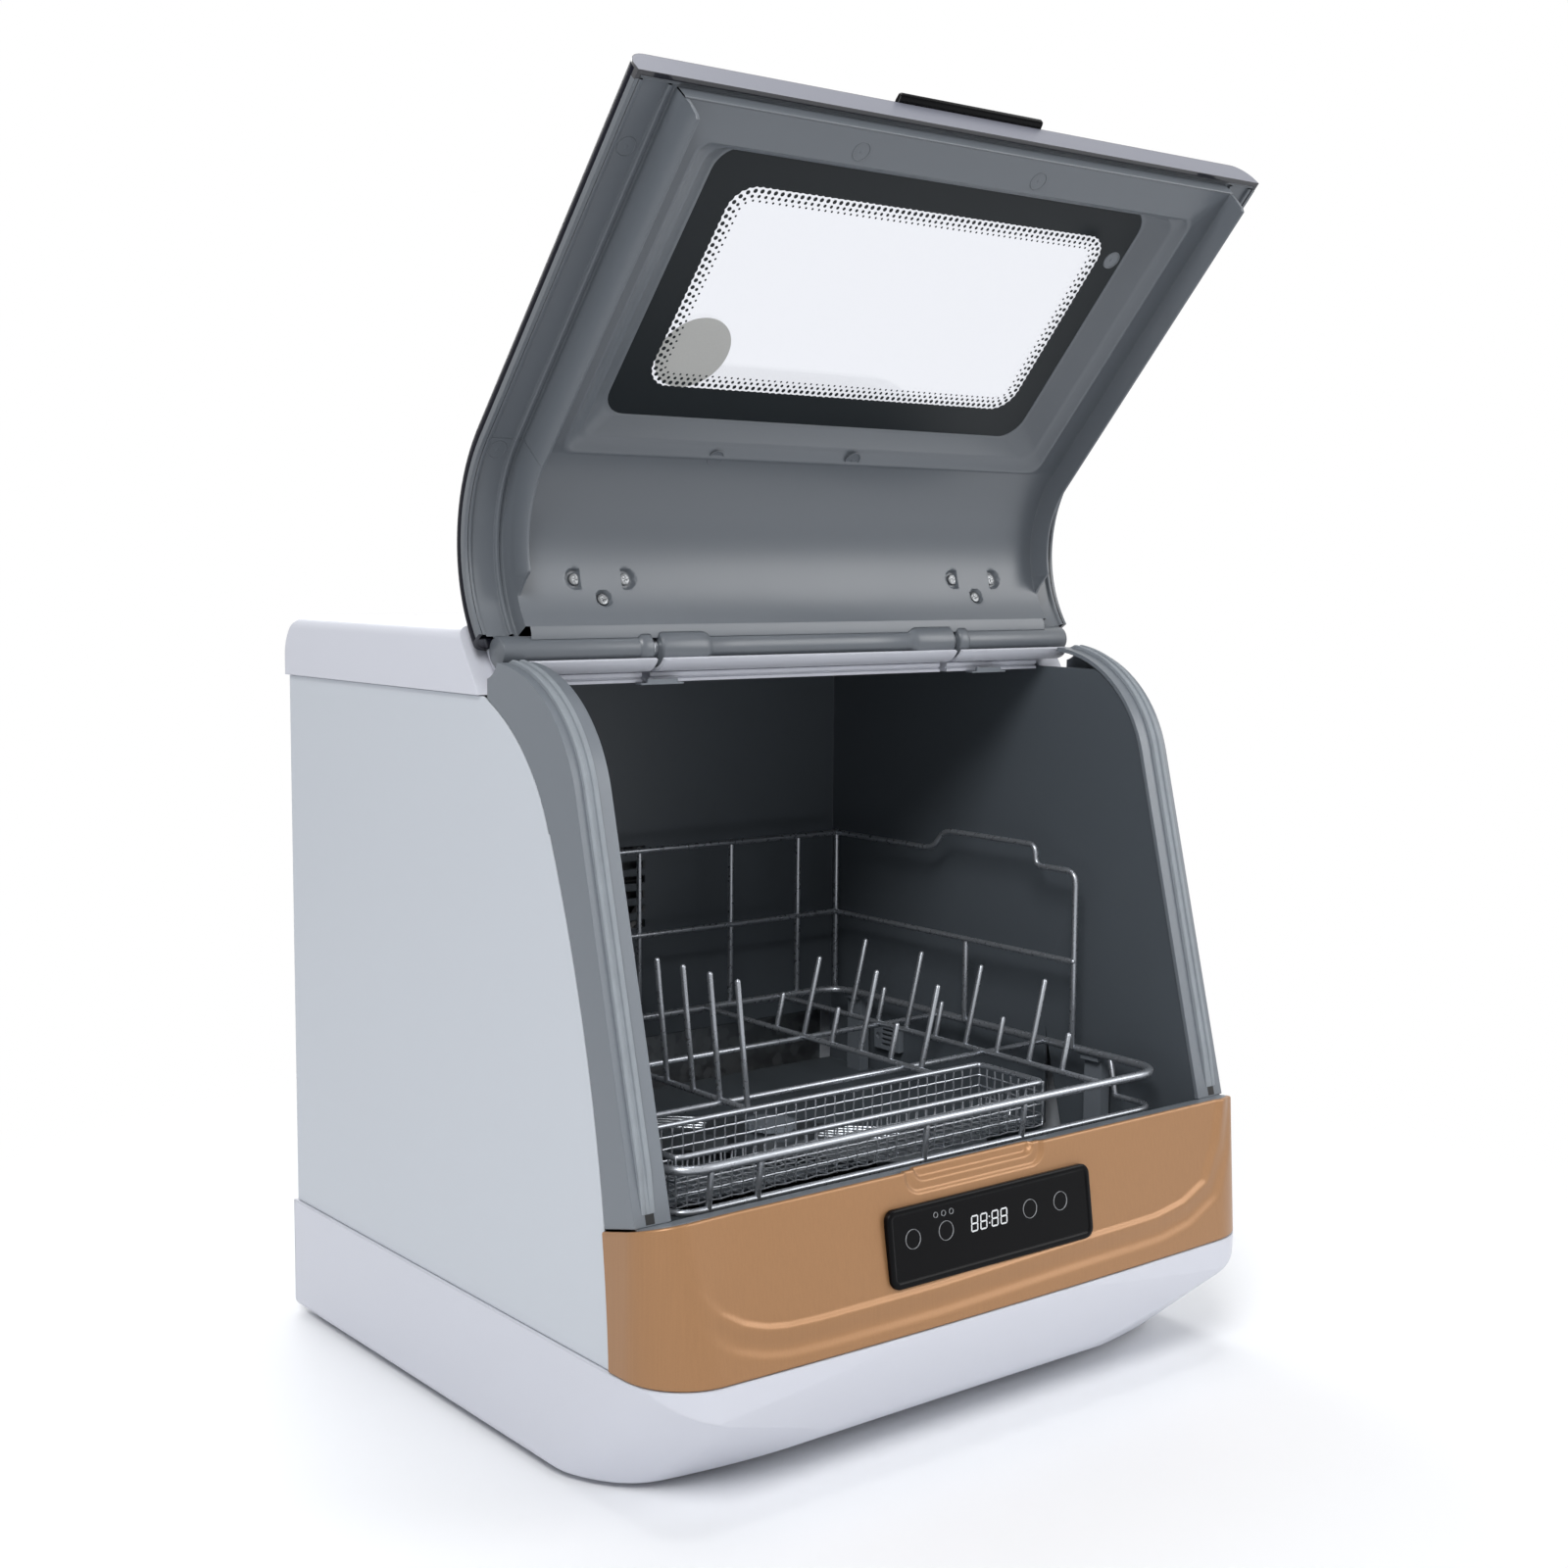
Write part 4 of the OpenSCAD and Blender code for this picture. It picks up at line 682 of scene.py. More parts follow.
class DISHWASHER_OT_controls(bpy.types.Operator):
    """Builds the control plate with its touch rings and clock display."""

    bl_idname = "dishwasher.controls"
    bl_label = "Controls"

    def execute(self, context):
        plate = Skin()
        profile = (
            (-2.0, -3.6), (0, -3.2), (0, -0.7), (-0.25, -0.25), (-0.8, 0.0), (-2.6, 0.06), (-3.1, -0.02),
            (-3.5, -0.45), (-8, -0.5), (-19, -0.5),
        )
        rows = []
        for grow, out in profile:
            outline = rounded(74 + grow, 20.5 + grow, max(6 + grow, 1.0), side=12)
            rows.append([plate_point(x, y, out) for x, y in outline])
        plate.loft(rows, wrap=True)
        plate.cap(rows[-1])
        piece("touch_plate", plate, finish("black"), "cabinet", ["control_bezel"], crisp=40)
        marks = Skin()
        for x in (-57.6, -34.5, 26.8, 50.0):
            plate_ring(marks, x, 3.6, 4.85, 12)
        for x in (-41.0, -35.5, -30.0):
            plate_ring(marks, x, 12.9, 1.25, 6)
        piece("touch_marks", marks, finish("mark"), "cabinet", crisp=40)
        digits = Skin()
        half, wide, bar, gap, lean = 3.9, 2.15, 0.42, 0.45, 0.08
        middle, sunk = 3.4, -0.44
        for cx in (-14.0, -7.4, 0.8, 7.4):
            bars = []
            a, b = gap - wide, wide - gap
            for y in (half, 0, -half):
                low, high = y - bar, y + bar
                bars.append([(a, low), (b, low), (b + bar, y), (b, high), (a, high), (a - bar, y)])
            for a, b in ((gap, half - gap), (gap - half, -gap)):
                for x in (-wide, wide):
                    left, right = x - bar, x + bar
                    bars.append([(left, a), (x, a - bar), (right, a), (right, b), (x, b + bar), (left, b)])
            for outline in bars:
                digits.cap([plate_point(cx + x + lean * y, middle + y, sunk) for x, y in outline])
        for y in (-1.7, 1.7):
            digits.cap([plate_point(x, up, sunk) for x, up in circle(-3.3, middle + y, 0.5, 8)])
        piece("clock_digits", digits, finish("digit"), "cabinet", crisp=40)
        return {"FINISHED"}


class DISHWASHER_OT_seal(bpy.types.Operator):
    """Builds the ridges on the rim that the lid closes on."""

    bl_idname = "dishwasher.seal"
    bl_label = "Rim seal"

    def execute(self, context):
        stops = spread([(4.6, 20), (RIM_LEN, 3.2), (CROWN_S - 7, 1)])
        section = [
            (200.4, 0), (200.5, 1.7), (200.9, 2.15), (202.9, 2.15), (203.3, 1.75), (203.5, 0.9),
            (205.6, 0.9), (205.8, 1.75), (206.2, 2.15), (207.9, 2.15), (208.3, 1.7), (208.4, 0),
        ]
        skin = Skin()
        for sign in (-1, 1):
            rows = []
            for i, s in enumerate(stops):
                full = 0.12 if i in (0, len(stops) - 1) else 1.0
                rows.append([rim_point(sign * x, s, 0.02 + h * full) for x, h in section])
            skin.loft(rows)
        piece("rim_seal", skin, finish("seal"), "cabinet", ["door_seal"], crisp=30)
        # painted shade: flat black quads at the seal's ends for the shade inside its hollow ridges
        holes = Skin()
        for sign in (-1, 1):
            holes.loft([[rim_point(sign * x, s, 0.04) for x in (201.4, 206.6)] for s in (-0.6, 4.4)])
        piece("seal_end_hole_shade", holes, finish("hole"), "cabinet")
        return {"FINISHED"}


def pocket(x, s):
    """How deep the screw pockets near the hinge go at a place on the lid's inner frame."""
    deep, soft, pair_r, pair_flat, low_r = 2.6, 1.2, 6.4, 3.0, 5.2
    outside = []
    for cx in SCREW_GROUPS:
        for side in (1, -1):
            dx = (x - cx) * side + SCREW_SIDE
            outside.append(max(math.hypot(dx, s - SCREW_S) - pair_r, dx - pair_flat))
        outside.append(math.hypot(x - cx, s - SCREW_LOW_S) - low_r)
    return deep * smooth(-min(outside) / soft)


class DISHWASHER_OT_lid_inside(bpy.types.Operator):
    """Builds the lid's grey inner frame, from its stepped window opening to its rolled hinge edge."""

    bl_idname = "dishwasher.lid_inside"
    bl_label = "Lid inside"

    def execute(self, context):
        self.pan()
        self.ejector_marks()
        self.screws(context.scene.dishwasher_sizes.screw_radius * 1000)
        return {"FINISHED"}

    def pan(self):
        """The pan with its splash fins, its two ends and the steps round the window."""
        side = [
            (FIN_IN, PAN_OFF), (188.35, -6), (188.5, -6.4), (188.55, -19.3), (188.8, -19.85), (189.5, -20),
            (190.2, -19.85), (190.45, -19.3), (FIN_OUT, -6.2), (190.7, 2.2), (191.2, 2.9), (193.6, 3.0),
            (193.9, 1.5), (194.3, 1.1), (195.7, 1.1), (196.1, 1.5), (196.4, 3.0), (200, 3.05), (206, 3.05),
            (209.4, 3.0), (210.0, 2.3), (210.3, 1.5), (210.9, 1.25), (212.2, 1.25), (212.5, 1.6),
        ]

        def finned(profile, s):
            """The side's profile, with the fin lower towards the hinge and the end of the rim."""
            keep = min(max((294.5 - s) / 10.5, 0), 1) * smooth((s - 4.5) / 3.0)
            return [(x, max(off, PAN_OFF) + min(off - PAN_OFF, 0) * keep) for x, off in profile]

        skin = Skin()
        for sign in (-1, 1):
            straight = spread([(PAN_START, 1.2), (10, 18), (RIM_LEN, 1)])
            skin.loft([lid_section(sign, s, finned(side, s)) for s in straight])
            skin.loft([lid_section(sign, s, side[9:]) for s in (4.3, 5.0, PAN_START)])
            skin.cap(lid_section(sign, PAN_START, finned(side[1:9], PAN_START)))
        middle = spread([(-FIN_IN, 9), (-163, 1.0), (-111, 11), (111, 1.0), (163, 9), (FIN_IN, 1)])
        rows = []
        for s in spread([(RIM_LEN, 3.2), (270, 3.0), (276, 0.9), (304, 2.4), (CROWN_S, 1)]):
            edge = finned(side[1:], s)
            row = lid_section(-1, s, edge[::-1])
            row += [lid_point(x, s, PAN_OFF + pocket(x, s)) for x in middle]
            rows.append(row + lid_section(1, s, edge))
        skin.loft(rows)
        rows = [[lid_point(x, CROWN_S, PAN_OFF) for x in middle]]
        for back, down in ((5.2, 9.6), (2.1, 7.7)):
            rows.append([swing((x, HINGE_Y - back, HINGE_Z - down)) for x in middle])
        skin.loft(rows)
        edge = [(190.7, 2.2), (193.6, 3.0), (200, 3.0), (206, 3.0)]
        for sign in (-1, 1):
            under_roll = [swing((sign * x, HINGE_Y - 7.7, HINGE_Z - 2.0)) for x, _ in edge]
            skin.loft([lid_section(sign, CROWN_S, edge), under_roll])

        # Round the window: half width, half length, corner, distance out and middle of each step.
        steps = [
            (FIN_IN, (RIM_LEN - PAN_START) / 2, 0.2, PAN_OFF, (RIM_LEN + PAN_START) / 2),
            (174.6, 93.5, 7, -6.0, 116.5), (173.8, 92.7, 7, -6.5, 116.5), (172.4, 91.6, 7.5, -6.6, 116.4),
            (171.4, 90.9, 8, -6.1, 116.2), (170.2, 90.2, 8, -5.0, 115.6), (166.4, 87.6, 8, -3.5, 114.9),
            (165.2, 87.0, 8.5, -3.2, 114.7), (163.6, 86.2, 9, -3.1, 114.4), (162.9, 85.6, 9, -2.6, 114.2),
            (152.6, 81.2, 13, 4.6, 111.6), (151.4, 80.6, 13.5, 5.1, 111.2), (150.4, 80.2, 14, 5.2, WINDOW_S),
            (150.0, 80.0, 14, 5.9, WINDOW_S),
        ]
        rings = [lid_ring(rounded(half, long, r, cy=mid), off) for half, long, r, off, mid in steps]
        skin.loft(rings, wrap=True)
        end = [
            (PAN_START, PAN_OFF), (5.2, -6.0), (4.9, -5.6), (4.85, 2.2), (4.3, 2.6), (3.7, 2.4), (3.6, 1.35),
            (3.35, 1.2), (3.15, 1.25), (3.05, 1.6), (2.9, 1.6), (2.8, 1.25), (2.6, 1.2), (2.4, 1.25),
            (2.3, 1.6), (2.15, 1.6),
        ]
        skin.loft(lid_rows(spread([(-190.6, 20), (190.6, 1)]), end))
        skin.loft(lid_rows(spread([(-212.4, 20), (212.4, 1)]), end[4:]))
        skin.loft(self.hinge_roll(), wrap=True)
        # the inner frame takes the lid grey, darkened as painted shade
        piece("lid_inner_frame", skin, finish("lid_grey"), "lid", ["lid_frame"], crisp=35)

    def hinge_roll(self):
        """Rings of the rolled hinge edge, with its ends, its knuckles and the slots for the arms."""
        half = [
            (-206.2, 0.2), (-206.2, 6.6), (-205.6, 7.7), (-204.6, 8.0), (-121.2, 8.0), (-120.6, 8.6),
            (-119.6, 9.3), (-118, 9.5), (-114.6, 9.5), (-113.2, 9.2), (-112.5, 8.4), (-112.4, 5.2),
            (-107.8, 5.2), (-107.7, 9.2), (-106.8, 10.1), (-105.4, 10.3), (-79, 10.3), (-76.4, 9.8),
            (-74.2, 8.6), (-73.2, 8.0), (-46, 8.0), (-15, 8.0),
        ]
        rings = []
        for x, r in half + [(-x, r) for x, r in half[::-1]]:
            rings.append([swing((x, y, z)) for y, z in circle(HINGE_Y, HINGE_Z, r, 40)])
        return rings

    def ejector_marks(self):
        """The faint round marks that the mould's ejector pins leave."""
        marks = Skin()
        profile = ((5.4, 0.1), (5.3, -0.25), (4.7, -0.25), (4.6, 0.1), (1.1, 0.12), (1.0, -0.1), (0.1, -0.12))
        on_pan = ((-73, 209), (-78.8, 17.2), (43.4, 17.2), (23.2, 206), (128.8, 57))
        on_edge = ((-203.2, 38.8), (-203.2, 216))
        for x, s, off in [(*at, PAN_OFF + 0.05) for at in on_pan] + [(*at, 3.1) for at in on_edge]:
            marks.loft([lid_ring(circle(x, s, r, 24), off + lift) for r, lift in profile], wrap=True)
        piece("ejector_marks", marks, finish("lid_grey"), "lid", crisp=30)

    def screws(self, r):
        """The screws that hold the hinge arms, with a cross in each head."""
        screws = Skin()
        for cx in SCREW_GROUPS:
            for x, s in ((cx - SCREW_SIDE, SCREW_S), (cx + SCREW_SIDE, SCREW_S), (cx, SCREW_LOW_S)):
                head = ((1, -3.2), (1, -4.4), (0.92, -4.8), (0.6, -5.1))
                rows = [lid_ring(circle(x, s, r * full, 20), off) for full, off in head]
                wide = lid_ring(circle(x, s, r * 0.5, 20, 0.4), -5.1)
                deep = lid_ring(circle(x, s, r * 0.2, 20, 0.4), -4.6)
                cross = [wide[k] if k % 5 else deep[k] for k in range(20)]
                screws.loft([*rows, cross], wrap=True)
                screws.cap(cross)
        piece("lid_screw_heads", screws, finish("screw"), "lid", ["lid_screws"], crisp=30)


class DISHWASHER_OT_window(bpy.types.Operator):
    """Finishes the pane and prints the dark frit with its rows of fading dots."""

    bl_idname = "dishwasher.window"
    bl_label = "Window"

    def execute(self, context):
        dress(finish("glass"), "window_glass")
        dress(finish("film"), "window_disc")
        pitch = context.scene.dishwasher_sizes.dot_pitch * 1000
        half_w, half_s, corner, face = 132, 61, 15, 5.55

        def clear(inset):
            """The outline of the clear part of the pane, or a smaller one inside it."""
            return rounded(half_w - inset, half_s - inset, corner - inset, 40, 0, WINDOW_S, 160)

        inner = clear(0)
        lengths = [0.0]
        for a, b in zip(inner, inner[1:]):
            lengths.append(lengths[-1] + math.dist(a, b))
        total = lengths[-1] + math.dist(inner[-1], inner[0])
        count = round(total / pitch)
        flat_w, flat_s = half_w - corner, half_s - corner
        edge = []
        for (x, y), d in zip(inner, lengths):
            wave = 0.75 * abs(math.sin(math.pi * count * d / total))
            cx, cy = max(min(x, flat_w), -flat_w), max(min(y, WINDOW_S + flat_s), WINDOW_S - flat_s)
            n = math.hypot(x - cx, y - cy) or 1
            edge.append((x - wave * (x - cx) / n, y - wave * (y - cy) / n))
        skin = Skin()
        outer = rounded(157, 85, 14, 40, 0, WINDOW_S, 160)
        skin.loft([lid_ring(outer, face), lid_ring(edge, face)], wrap=True)
        for row, (inset, r) in enumerate(((2.6, 1.3), (5.6, 1.0), (8.2, 0.7))):
            line = clear(inset)
            walk, due = 0.0, pitch * (0.5 if row % 2 else 0.0)
            for a, b in zip(line, line[1:] + line[:1]):
                step = math.dist(a, b)
                while step and due <= walk + step:
                    f = (due - walk) / step
                    x, y = a[0] + (b[0] - a[0]) * f, a[1] + (b[1] - a[1]) * f
                    skin.cap(lid_ring(circle(x, y, r, 8), face))
                    due += pitch
                walk += step
        piece("window_frit", skin, finish("frit"), "lid", crisp=30)
        return {"FINISHED"}


class DISHWASHER_OT_lid_outside(bpy.types.Operator):
    """Finishes the lid's outer shell and builds its pull."""

    bl_idname = "dishwasher.lid_outside"
    bl_label = "Lid outside"

    def execute(self, context):
        dress(finish("shell"), "lid_shell")
        dress(finish("white_abs"), "hinge_cover")
        self.bands()
        self.pull()
        return {"FINISHED"}

    def bands(self):
        """The two-tone edge: grey side bands, dark long edges and a front edge painted paler as a painted
        reflection of the white surroundings.
        """
        lift = 0.04
        upper = [(RIM_LEN, 3.2), (270, 3.0), (CROWN_S, 1)]
        side, edge, front = Skin(), Skin(), Skin()
        for sign in (-1, 1):
            rows = []
            for s in spread([(4.0, 0.8), (5.6, 3), *upper]):
                x = HALF_W + (lift if s > 4.1 else -1.0)
                band = [(213.0, 1.0), (x, 1.0), (x, 2.0), (x, 4.0), (x, 4.6), (213.6, 5.0)]
                rows.append(lid_section(sign, s, band))
            side.loft(rows)
            rows = []
            for s in spread([(0.5, 0.4), (1.0, 3), *upper]):
                arc = []
                for turn in (-5, -4, 5, 10, 20, 30, 40, 50, 60, 70, 80, 81):
                    sunk = turn in (-5, 81) or s < 0.6
                    r, a = EDGE_R + (-0.3 if sunk else lift), math.radians(turn)
                    arc.append((EDGE_X + r * math.cos(a), EDGE_OFF + r * math.sin(a)))
                rows.append(lid_section(sign, s, arc))
            edge.loft(rows)
        # the front band's paler colour is a painted reflection of the white that the glossy shell mirrors at
        # its front edge
        rows = []
        for off in spread([(1.4, 0.8), (EDGE_OFF, 0.8), (16.6, 1)]):
            half = EDGE_X + math.sqrt((EDGE_R - 0.2) ** 2 - max(0.0, off - EDGE_OFF) ** 2)
            rows.append([lid_point(half * f / 30, -0.35, off) for f in range(-30, 31)])
        front.loft(rows)
        # the side bands take the lid grey, darkened as painted shade
        piece("lid_side_bands", side, finish("lid_grey"), "lid", crisp=35)
        piece("lid_edge_bands", edge, finish("edge"), "lid", crisp=35)
        piece("lid_rim_reflection_band", front, finish("rim_reflection"), "lid", crisp=35)

    def pull(self):
        """The pull across the lid's front edge, a little slimmer at its ends."""
        section = (
            (-0.2, 16.9), (-1.2, 17.0), (-3.6, 17.5), (-4.3, 18.0), (-4.5, 19.3), (-4.0, 20.1), (-0.6, 20.3),
            (2.4, 19.8), (7.5, 18.3), (11.6, 17.4), (12, 17.1), (8, 16.9), (-0.2, 16.8),
        )
        left = [(-50, 0.9), (-49.6, 0.96), (-48.8, 1.0)]
        s_mid, off_mid = 2, 17
        rows = []
        for x, full in [*left, (0, 1.0), *[(-x, full) for x, full in left[::-1]]]:
            slim = [(s_mid + (s - s_mid) * full, off_mid + (off - off_mid) * full) for s, off in section]
            rows.append([lid_point(x, s, off) for s, off in slim])
        skin = Skin()
        skin.loft(rows, wrap=True)
        skin.cap(rows[0])
        skin.cap(rows[-1])
        piece("lid_pull", skin, finish("black"), "lid", ["lid_handle"], crisp=38)


class DISHWASHER_OT_rack(bpy.types.Operator):
    """Builds the rack from round wires with bent corners."""

    bl_idname = "dishwasher.rack"
    bl_label = "Rack"

    def execute(self, context):
        sizes = context.scene.dishwasher_sizes
        rail, wire, tine = sizes.rail_radius * 1000, sizes.wire_radius * 1000, sizes.tine_radius * 1000
        side, front, rear, low = 178, -151.5, 150, 143
        above, below = RAIL_Z + 0.8, RAIL_Z - 0.8

        def group(name, node, runs, skin=None):
            """One piece of wires, each given as its points, its radius and how far its corners bend."""
            skin = skin or Skin()
            for points, r, bend in runs:
                skin.tube(points, r, 10, bend)
            piece(name, skin, finish("wire"), "rack", [node], crisp=60)

        rim = Skin()
        corners = [(-side, rear), (-side, front), (side, front), (side, rear)]
        rim.tube([(x, y, RAIL_Z) for x, y in corners], rail, 12, 22, ring=True)
        lengthways = ((124, front), (60, -82), (-76, -82))
        runs = [([(x, y, above), (x, rear, above)], wire, 0) for x, y in lengthways]
        runs += [([(-side, y, below), (side, y, below)], wire, 0) for y in (45, -52)]
        group("rack_rail_wires", "rack_rails", runs, rim)

        half, turn = 175, -148.5
        loop = [(half, -118, low), (half, turn, low), (-half, turn, low), (-half, -118, low)]
        group("rack_lower_rail", "rack_loop", [(loop, wire, 15)])

        drop = ((-151.2, RAIL_Z), (-150.2, 156), (-148.8, low))
        runs = [([(x, y, z) for y, z in drop], tine, 3) for x in (-156, -125, -11, 63)]
        runs += [([(x + 2.5 * x / half, -110, RAIL_Z), (x, -117, low)], tine, 0) for x in (-half, half)]
        group("rack_hanging_wires", "rack_legs", runs)

        runs = []
        c, n = math.cos(math.radians(15)), math.sin(math.radians(15))
        for x, first, y0, odd in ((60, 2, -122, 0), (124, 0, -120, 1)):
            for i in range(first, 8):
                y = y0 + i * 27.6
                rise = 50 if (i + odd) % 2 == 0 else 22
                runs.append(([(x + 0.5, y, above), (x + rise * n, y, above + rise * c)], tine, 0))
        for i in range(6):
            y = -77 + i * 25.4
            runs.append(([(-76.5, y, above), (-84, y, above + 72)], tine, 0))
        group("rack_tine_wires", "rack_tines", runs)

        mid, top, hump = 220, 276, 289
        outline = [(-80, 166), (-80, top), (-45, top), (-45, hump), (40, hump), (50, top), (rear, top)]
        runs = [
            ([(half, y, z) for y, z in outline], wire, 8),
            ([(half - 0.9, -80, mid), (half - 0.9, rear, mid)], wire, 0),
            ([(half, 17, 166), (half, 17, mid)], wire, 0),
        ]
        runs += [([(-half, rear, z), (half, rear, z)], wire, 0) for z in (top, mid)]
        for x in (-half - 0.8, -142, -67, 8, 83, 141, half + 0.8):
            runs.append(([(x, rear + 0.9, RAIL_Z), (x, rear + 0.9, top + 0.6)], wire, 0))
        group("rack_guard_wires", "rack_guards", runs)
        return {"FINISHED"}


class DISHWASHER_OT_basket(bpy.types.Operator):
    """Weaves the cutlery basket from fine wires under a round rim."""

    bl_idname = "dishwasher.basket"
    bl_label = "Cutlery basket"

    def execute(self, context):
        sizes = context.scene.dishwasher_sizes
        pitch, r = sizes.mesh_pitch * 1000, sizes.mesh_wire * 1000
        x0, y0, x1, y1, low, high = -169.2, -139.2, 89.2, -86.8, 143.7, 169.0
        xs, ys, zs = (even(a, b, round((b - a) / pitch)) for a, b in ((x0, x1), (y0, y1), (low, high)))
        left, right, front, back, down = (-1, 0, 0), (1, 0, 0), (0, -1, 0), (0, 1, 0), (0, 0, -1)
        skin = Skin()

        def woven(path, phase):
            """Waves a wire over and under the wires that it crosses."""
            points = []
            for k, (p, out) in enumerate(path):
                lift = 0.55 * r * (1 if (k + phase) % 2 else -1)
                points.append(tuple(p[j] + out[j] * lift for j in range(3)))
            skin.tube(points, r, 6)

        for i, x in enumerate(xs):
            path = [((x, y0, z), front) for z in zs[:0:-1]] + [((x, y, low), down) for y in ys]
            woven(path + [((x, y1, z), back) for z in zs[1:]], i)
        for j, y in enumerate(ys):
            path = [((x0, y, z), left) for z in zs[:0:-1]] + [((x, y, low), down) for x in xs]
            woven(path + [((x1, y, z), right) for z in zs[1:]], j + 1)
        for k, z in enumerate(zs[1:-1], 1):
            path = [((x, y0, z), front) for x in xs] + [((x1, y, z), right) for y in ys[1:]]
            path += [((x, y1, z), back) for x in xs[-2::-1]] + [((x0, y, z), left) for y in ys[-2::-1]]
            woven(path, k)
        rim = [(x0, y0, high), (x1, y0, high), (x1, y1, high), (x0, y1, high)]
        skin.tube(rim, sizes.wire_radius * 900, 10, 5, ring=True)
        piece("woven_basket", skin, finish("wire"), "basket", ["cutlery_basket"], crisp=60)
        return {"FINISHED"}


class DISHWASHER_OT_spray_arm(bpy.types.Operator):
    """Finishes the spray arm and adds its pressed ribs."""

    bl_idname = "dishwasher.spray_arm"
    bl_label = "Spray arm"

    def execute(self, context):
        dress(finish("steel"), "spray_arm")
        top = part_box("spray_arm")[1][2] * 1000
        turn, middle_y = math.radians(-48), 8
        pitch, half, high, sunk, fan = 5.6, 1.5, 1.1, 0.25, 0.06
        c, n = math.cos(turn), math.sin(turn)
        skin = Skin()
        for sign in (-1, 1):
            for k in (-2, -1, 0, 1, 2):
                end = 90 - 4 * abs(k)
                stops = [(34, 0.15), (35.2, 0.75), (37, 1), (60, 1)]
                rows = []
                for d, full in [*stops, (end - 6, 1), (end - 2, 0.75), (end, 0.15)]:
                    row = []
                    for a in (math.radians(20 * i) for i in range(10)):
                        u = sign * d
                        v = k * pitch + half * full * math.cos(a) + sign * (d - 60) * fan
                        z = top - sunk + high * full * math.sin(a)
                        row.append((u * c - v * n, middle_y + u * n + v * c, z))
                    rows.append(row)
                skin.loft(rows)
        piece("spray_arm_ribs", skin, finish("steel"), "sprayer", crisp=60)
        return {"FINISHED"}


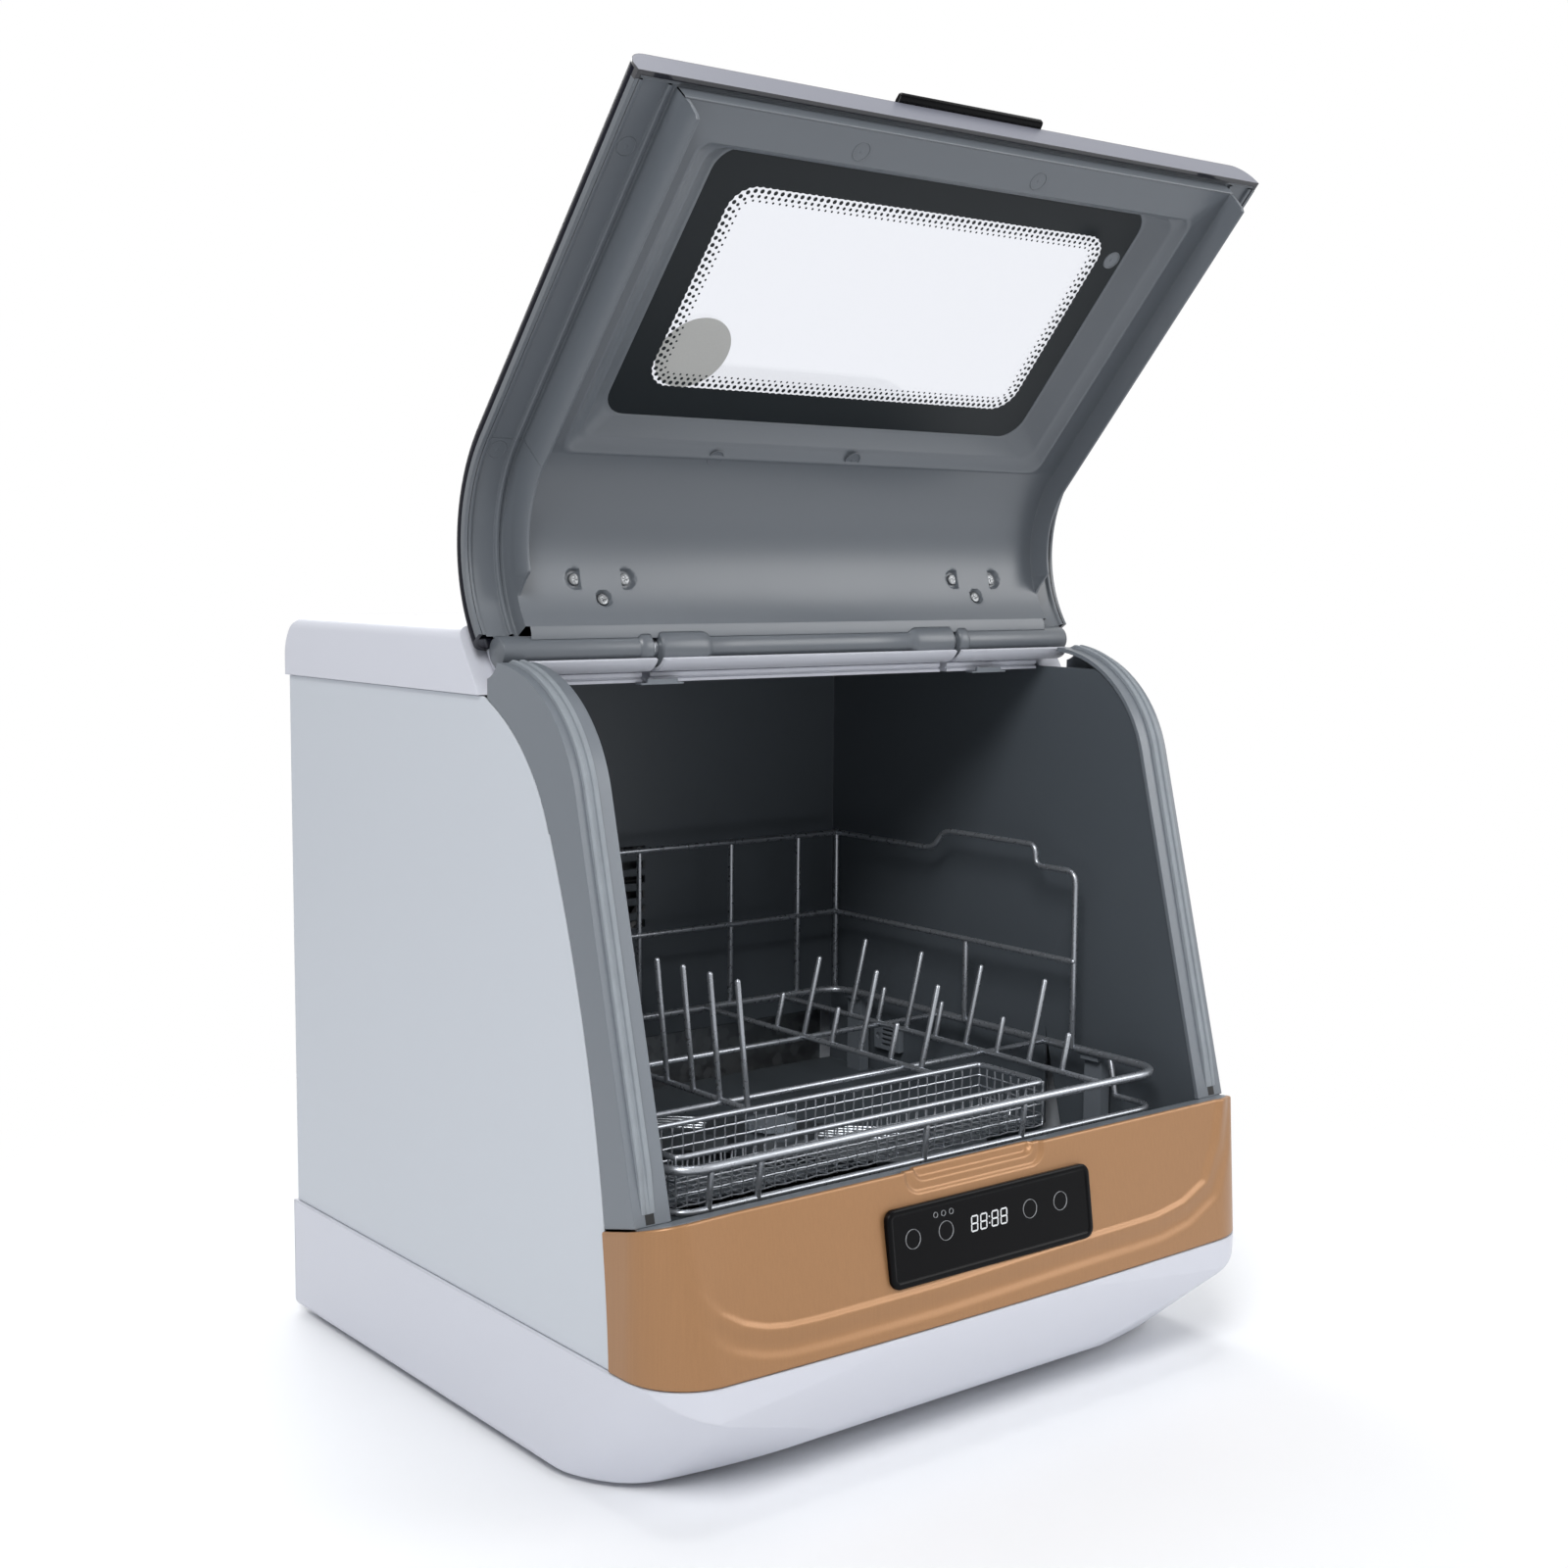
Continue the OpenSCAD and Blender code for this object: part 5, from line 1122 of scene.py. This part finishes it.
class DISHWASHER_OT_stage(bpy.types.Operator):
    """Sets the floor, the white surroundings, the soft lamps and the camera."""

    bl_idname = "dishwasher.stage"
    bl_label = "Stage"

    def execute(self, context):
        self.floor(context.scene)
        self.world(context.scene)
        self.lamps(context.scene)
        self.camera(context.scene)
        context.scene.view_settings.view_transform = "Standard"
        return {"FINISHED"}

    def floor(self, scene):
        """Sealed plaster: pale and matt, fading into the white surroundings."""
        settings = {"Base Color": scene.dishwasher_colours.floor, "Roughness": 0.6}
        mat, tree, shader, where = surface("pale_plaster_floor", settings)
        feed(tree, shader, {"Normal": relief(tree, noise(tree, where, 60.0, 3.0), 0.05, 0.5)})
        reach = add(tree, "ShaderNodeVectorMath", {"operation": "LENGTH"}, {0: where}).outputs["Value"]
        ease = {"From Min": 0.22, "From Max": 0.75, "interpolation_type": "SMOOTHSTEP"}
        fade = add(tree, "ShaderNodeMapRange", ease, {"Value": reach}).outputs[0]
        ray = add(tree, "ShaderNodeLightPath").outputs
        seen = either(tree, ray["Is Camera Ray"], ray["Is Transmission Ray"])
        share = add(tree, "ShaderNodeMath", {"operation": "MULTIPLY"}, {0: fade, 1: seen}).outputs[0]
        white = add(tree, "ShaderNodeEmission", {"Color": (1, 1, 1, 1), "Strength": 1.0}).outputs[0]
        blend = add(tree, "ShaderNodeMixShader", {}, {0: share, 1: shader.outputs[0], 2: white}).outputs[0]
        out = next(n for n in tree.nodes if n.type == "OUTPUT_MATERIAL")
        tree.links.new(blend, out.inputs["Surface"])
        steps, radii = 48, (6, 2, 0.8, 0.3)
        ground = Skin()
        ground.loft([[(x, y, 0) for x, y in circle(0, 0, r, steps)] for r in radii], wrap=True)
        last = steps * len(radii)
        mesh = bpy.data.meshes.new("floor")
        mesh.from_pydata(ground.verts, [], [tuple(range(last - steps, last)), *ground.faces])
        mesh.materials.append(mat)
        floor = bpy.data.objects.new("floor", mesh)
        scene.collection.objects.link(floor)

    def world(self, scene):
        """White where it is seen, mirrored or looked at through glass, and a dim cool fill otherwise."""
        world = bpy.data.worlds.new("soft_studio")
        world.use_nodes = True
        scene.world = world
        tree = world.node_tree
        tree.nodes.clear()
        ray = add(tree, "ShaderNodeLightPath").outputs
        mirror = either(tree, ray["Is Glossy Ray"], ray["Is Transmission Ray"])
        seen = either(tree, ray["Is Camera Ray"], mirror)
        dim = add(tree, "ShaderNodeBackground", {"Color": (0.93, 0.96, 1.0, 1), "Strength": 0.24}).outputs[0]
        bright = add(tree, "ShaderNodeBackground", {"Color": (1, 1, 1, 1), "Strength": 1.0}).outputs[0]
        mix = add(tree, "ShaderNodeMixShader", {}, {0: seen, 1: dim, 2: bright}).outputs[0]
        add(tree, "ShaderNodeOutputWorld", {}, {"Surface": mix})

    def lamps(self, scene):
        """Soft round lamps, all turned to the middle of the machine."""
        middle = Vector((0, 0, 0.3))
        for name, place, size, power in (
            ("key", (-1.6, -1.5, 2.3), 1.2, 55),
            ("fill", (1.7, -1.7, 1.3), 1.4, 20),
            ("top", (0.1, 0.2, 2.5), 1.4, 24),
            ("back", (0.4, 1.9, 1.4), 1.4, 12),
        ):
            data = bpy.data.lights.new(name, "AREA")
            data.shape, data.size, data.energy = "DISK", size, power
            lamp = bpy.data.objects.new(name, data)
            lamp.location = place
            lamp.rotation_euler = (middle - Vector(place)).to_track_quat("-Z", "Y").to_euler()
            scene.collection.objects.link(lamp)

    def camera(self, scene):
        """The camera in front of the left corner, looking a little down."""
        place = (-0.7578, -0.9631, 0.4656)
        yaw, pitch, roll = (math.radians(a) for a in (38.497, 6.134, 0.490))
        ahead = Vector((math.sin(yaw) * math.cos(pitch), math.cos(yaw) * math.cos(pitch), -math.sin(pitch)))
        level = Vector((math.cos(yaw), -math.sin(yaw), 0))
        upright = level.cross(ahead)
        right = level * math.cos(roll) + upright * math.sin(roll)
        up = upright * math.cos(roll) - level * math.sin(roll)
        data = bpy.data.cameras.new("camera")
        data.sensor_width, data.lens = 36, 47.88
        data.clip_end = 50
        camera = bpy.data.objects.new("camera", data)
        camera.matrix_world = Matrix.Translation(place) @ Matrix((right, up, -ahead)).transposed().to_4x4()
        scene.collection.objects.link(camera)
        scene.camera = camera


class DISHWASHER_PT_panel(bpy.types.Panel):
    """Lists the steps that dress the dishwasher."""

    bl_label = "Dishwasher"
    bl_idname = "DISHWASHER_PT_panel"
    bl_space_type = "VIEW_3D"
    bl_region_type = "UI"
    bl_category = "Dishwasher"

    def draw(self, context):
        for step in STEPS:
            self.layout.operator(step.bl_idname)
        for group in (context.scene.dishwasher_sizes, context.scene.dishwasher_colours):
            for key in group.bl_rna.properties.keys():
                if key not in ("rna_type", "name"):
                    self.layout.prop(group, key)


STEPS = [
    DISHWASHER_OT_stage, DISHWASHER_OT_body, DISHWASHER_OT_front_panel, DISHWASHER_OT_controls,
    DISHWASHER_OT_seal, DISHWASHER_OT_lid_inside, DISHWASHER_OT_window, DISHWASHER_OT_lid_outside,
    DISHWASHER_OT_rack, DISHWASHER_OT_basket, DISHWASHER_OT_spray_arm,
]
CLASSES = [DishwasherSizes, DishwasherColours, *STEPS, DISHWASHER_PT_panel]


def register():
    for item in CLASSES:
        bpy.utils.register_class(item)
    bpy.types.Scene.dishwasher_sizes = bpy.props.PointerProperty(type=DishwasherSizes)
    bpy.types.Scene.dishwasher_colours = bpy.props.PointerProperty(type=DishwasherColours)


def unregister():
    del bpy.types.Scene.dishwasher_sizes
    del bpy.types.Scene.dishwasher_colours
    for item in reversed(CLASSES):
        bpy.utils.unregister_class(item)


def main():
    register()
    for step in STEPS:
        done = getattr(bpy.ops.dishwasher, step.bl_idname.split(".")[1])()
        if "FINISHED" not in done:
            raise RuntimeError(step.bl_label + " could not finish")


if __name__ == "__main__":
    main()
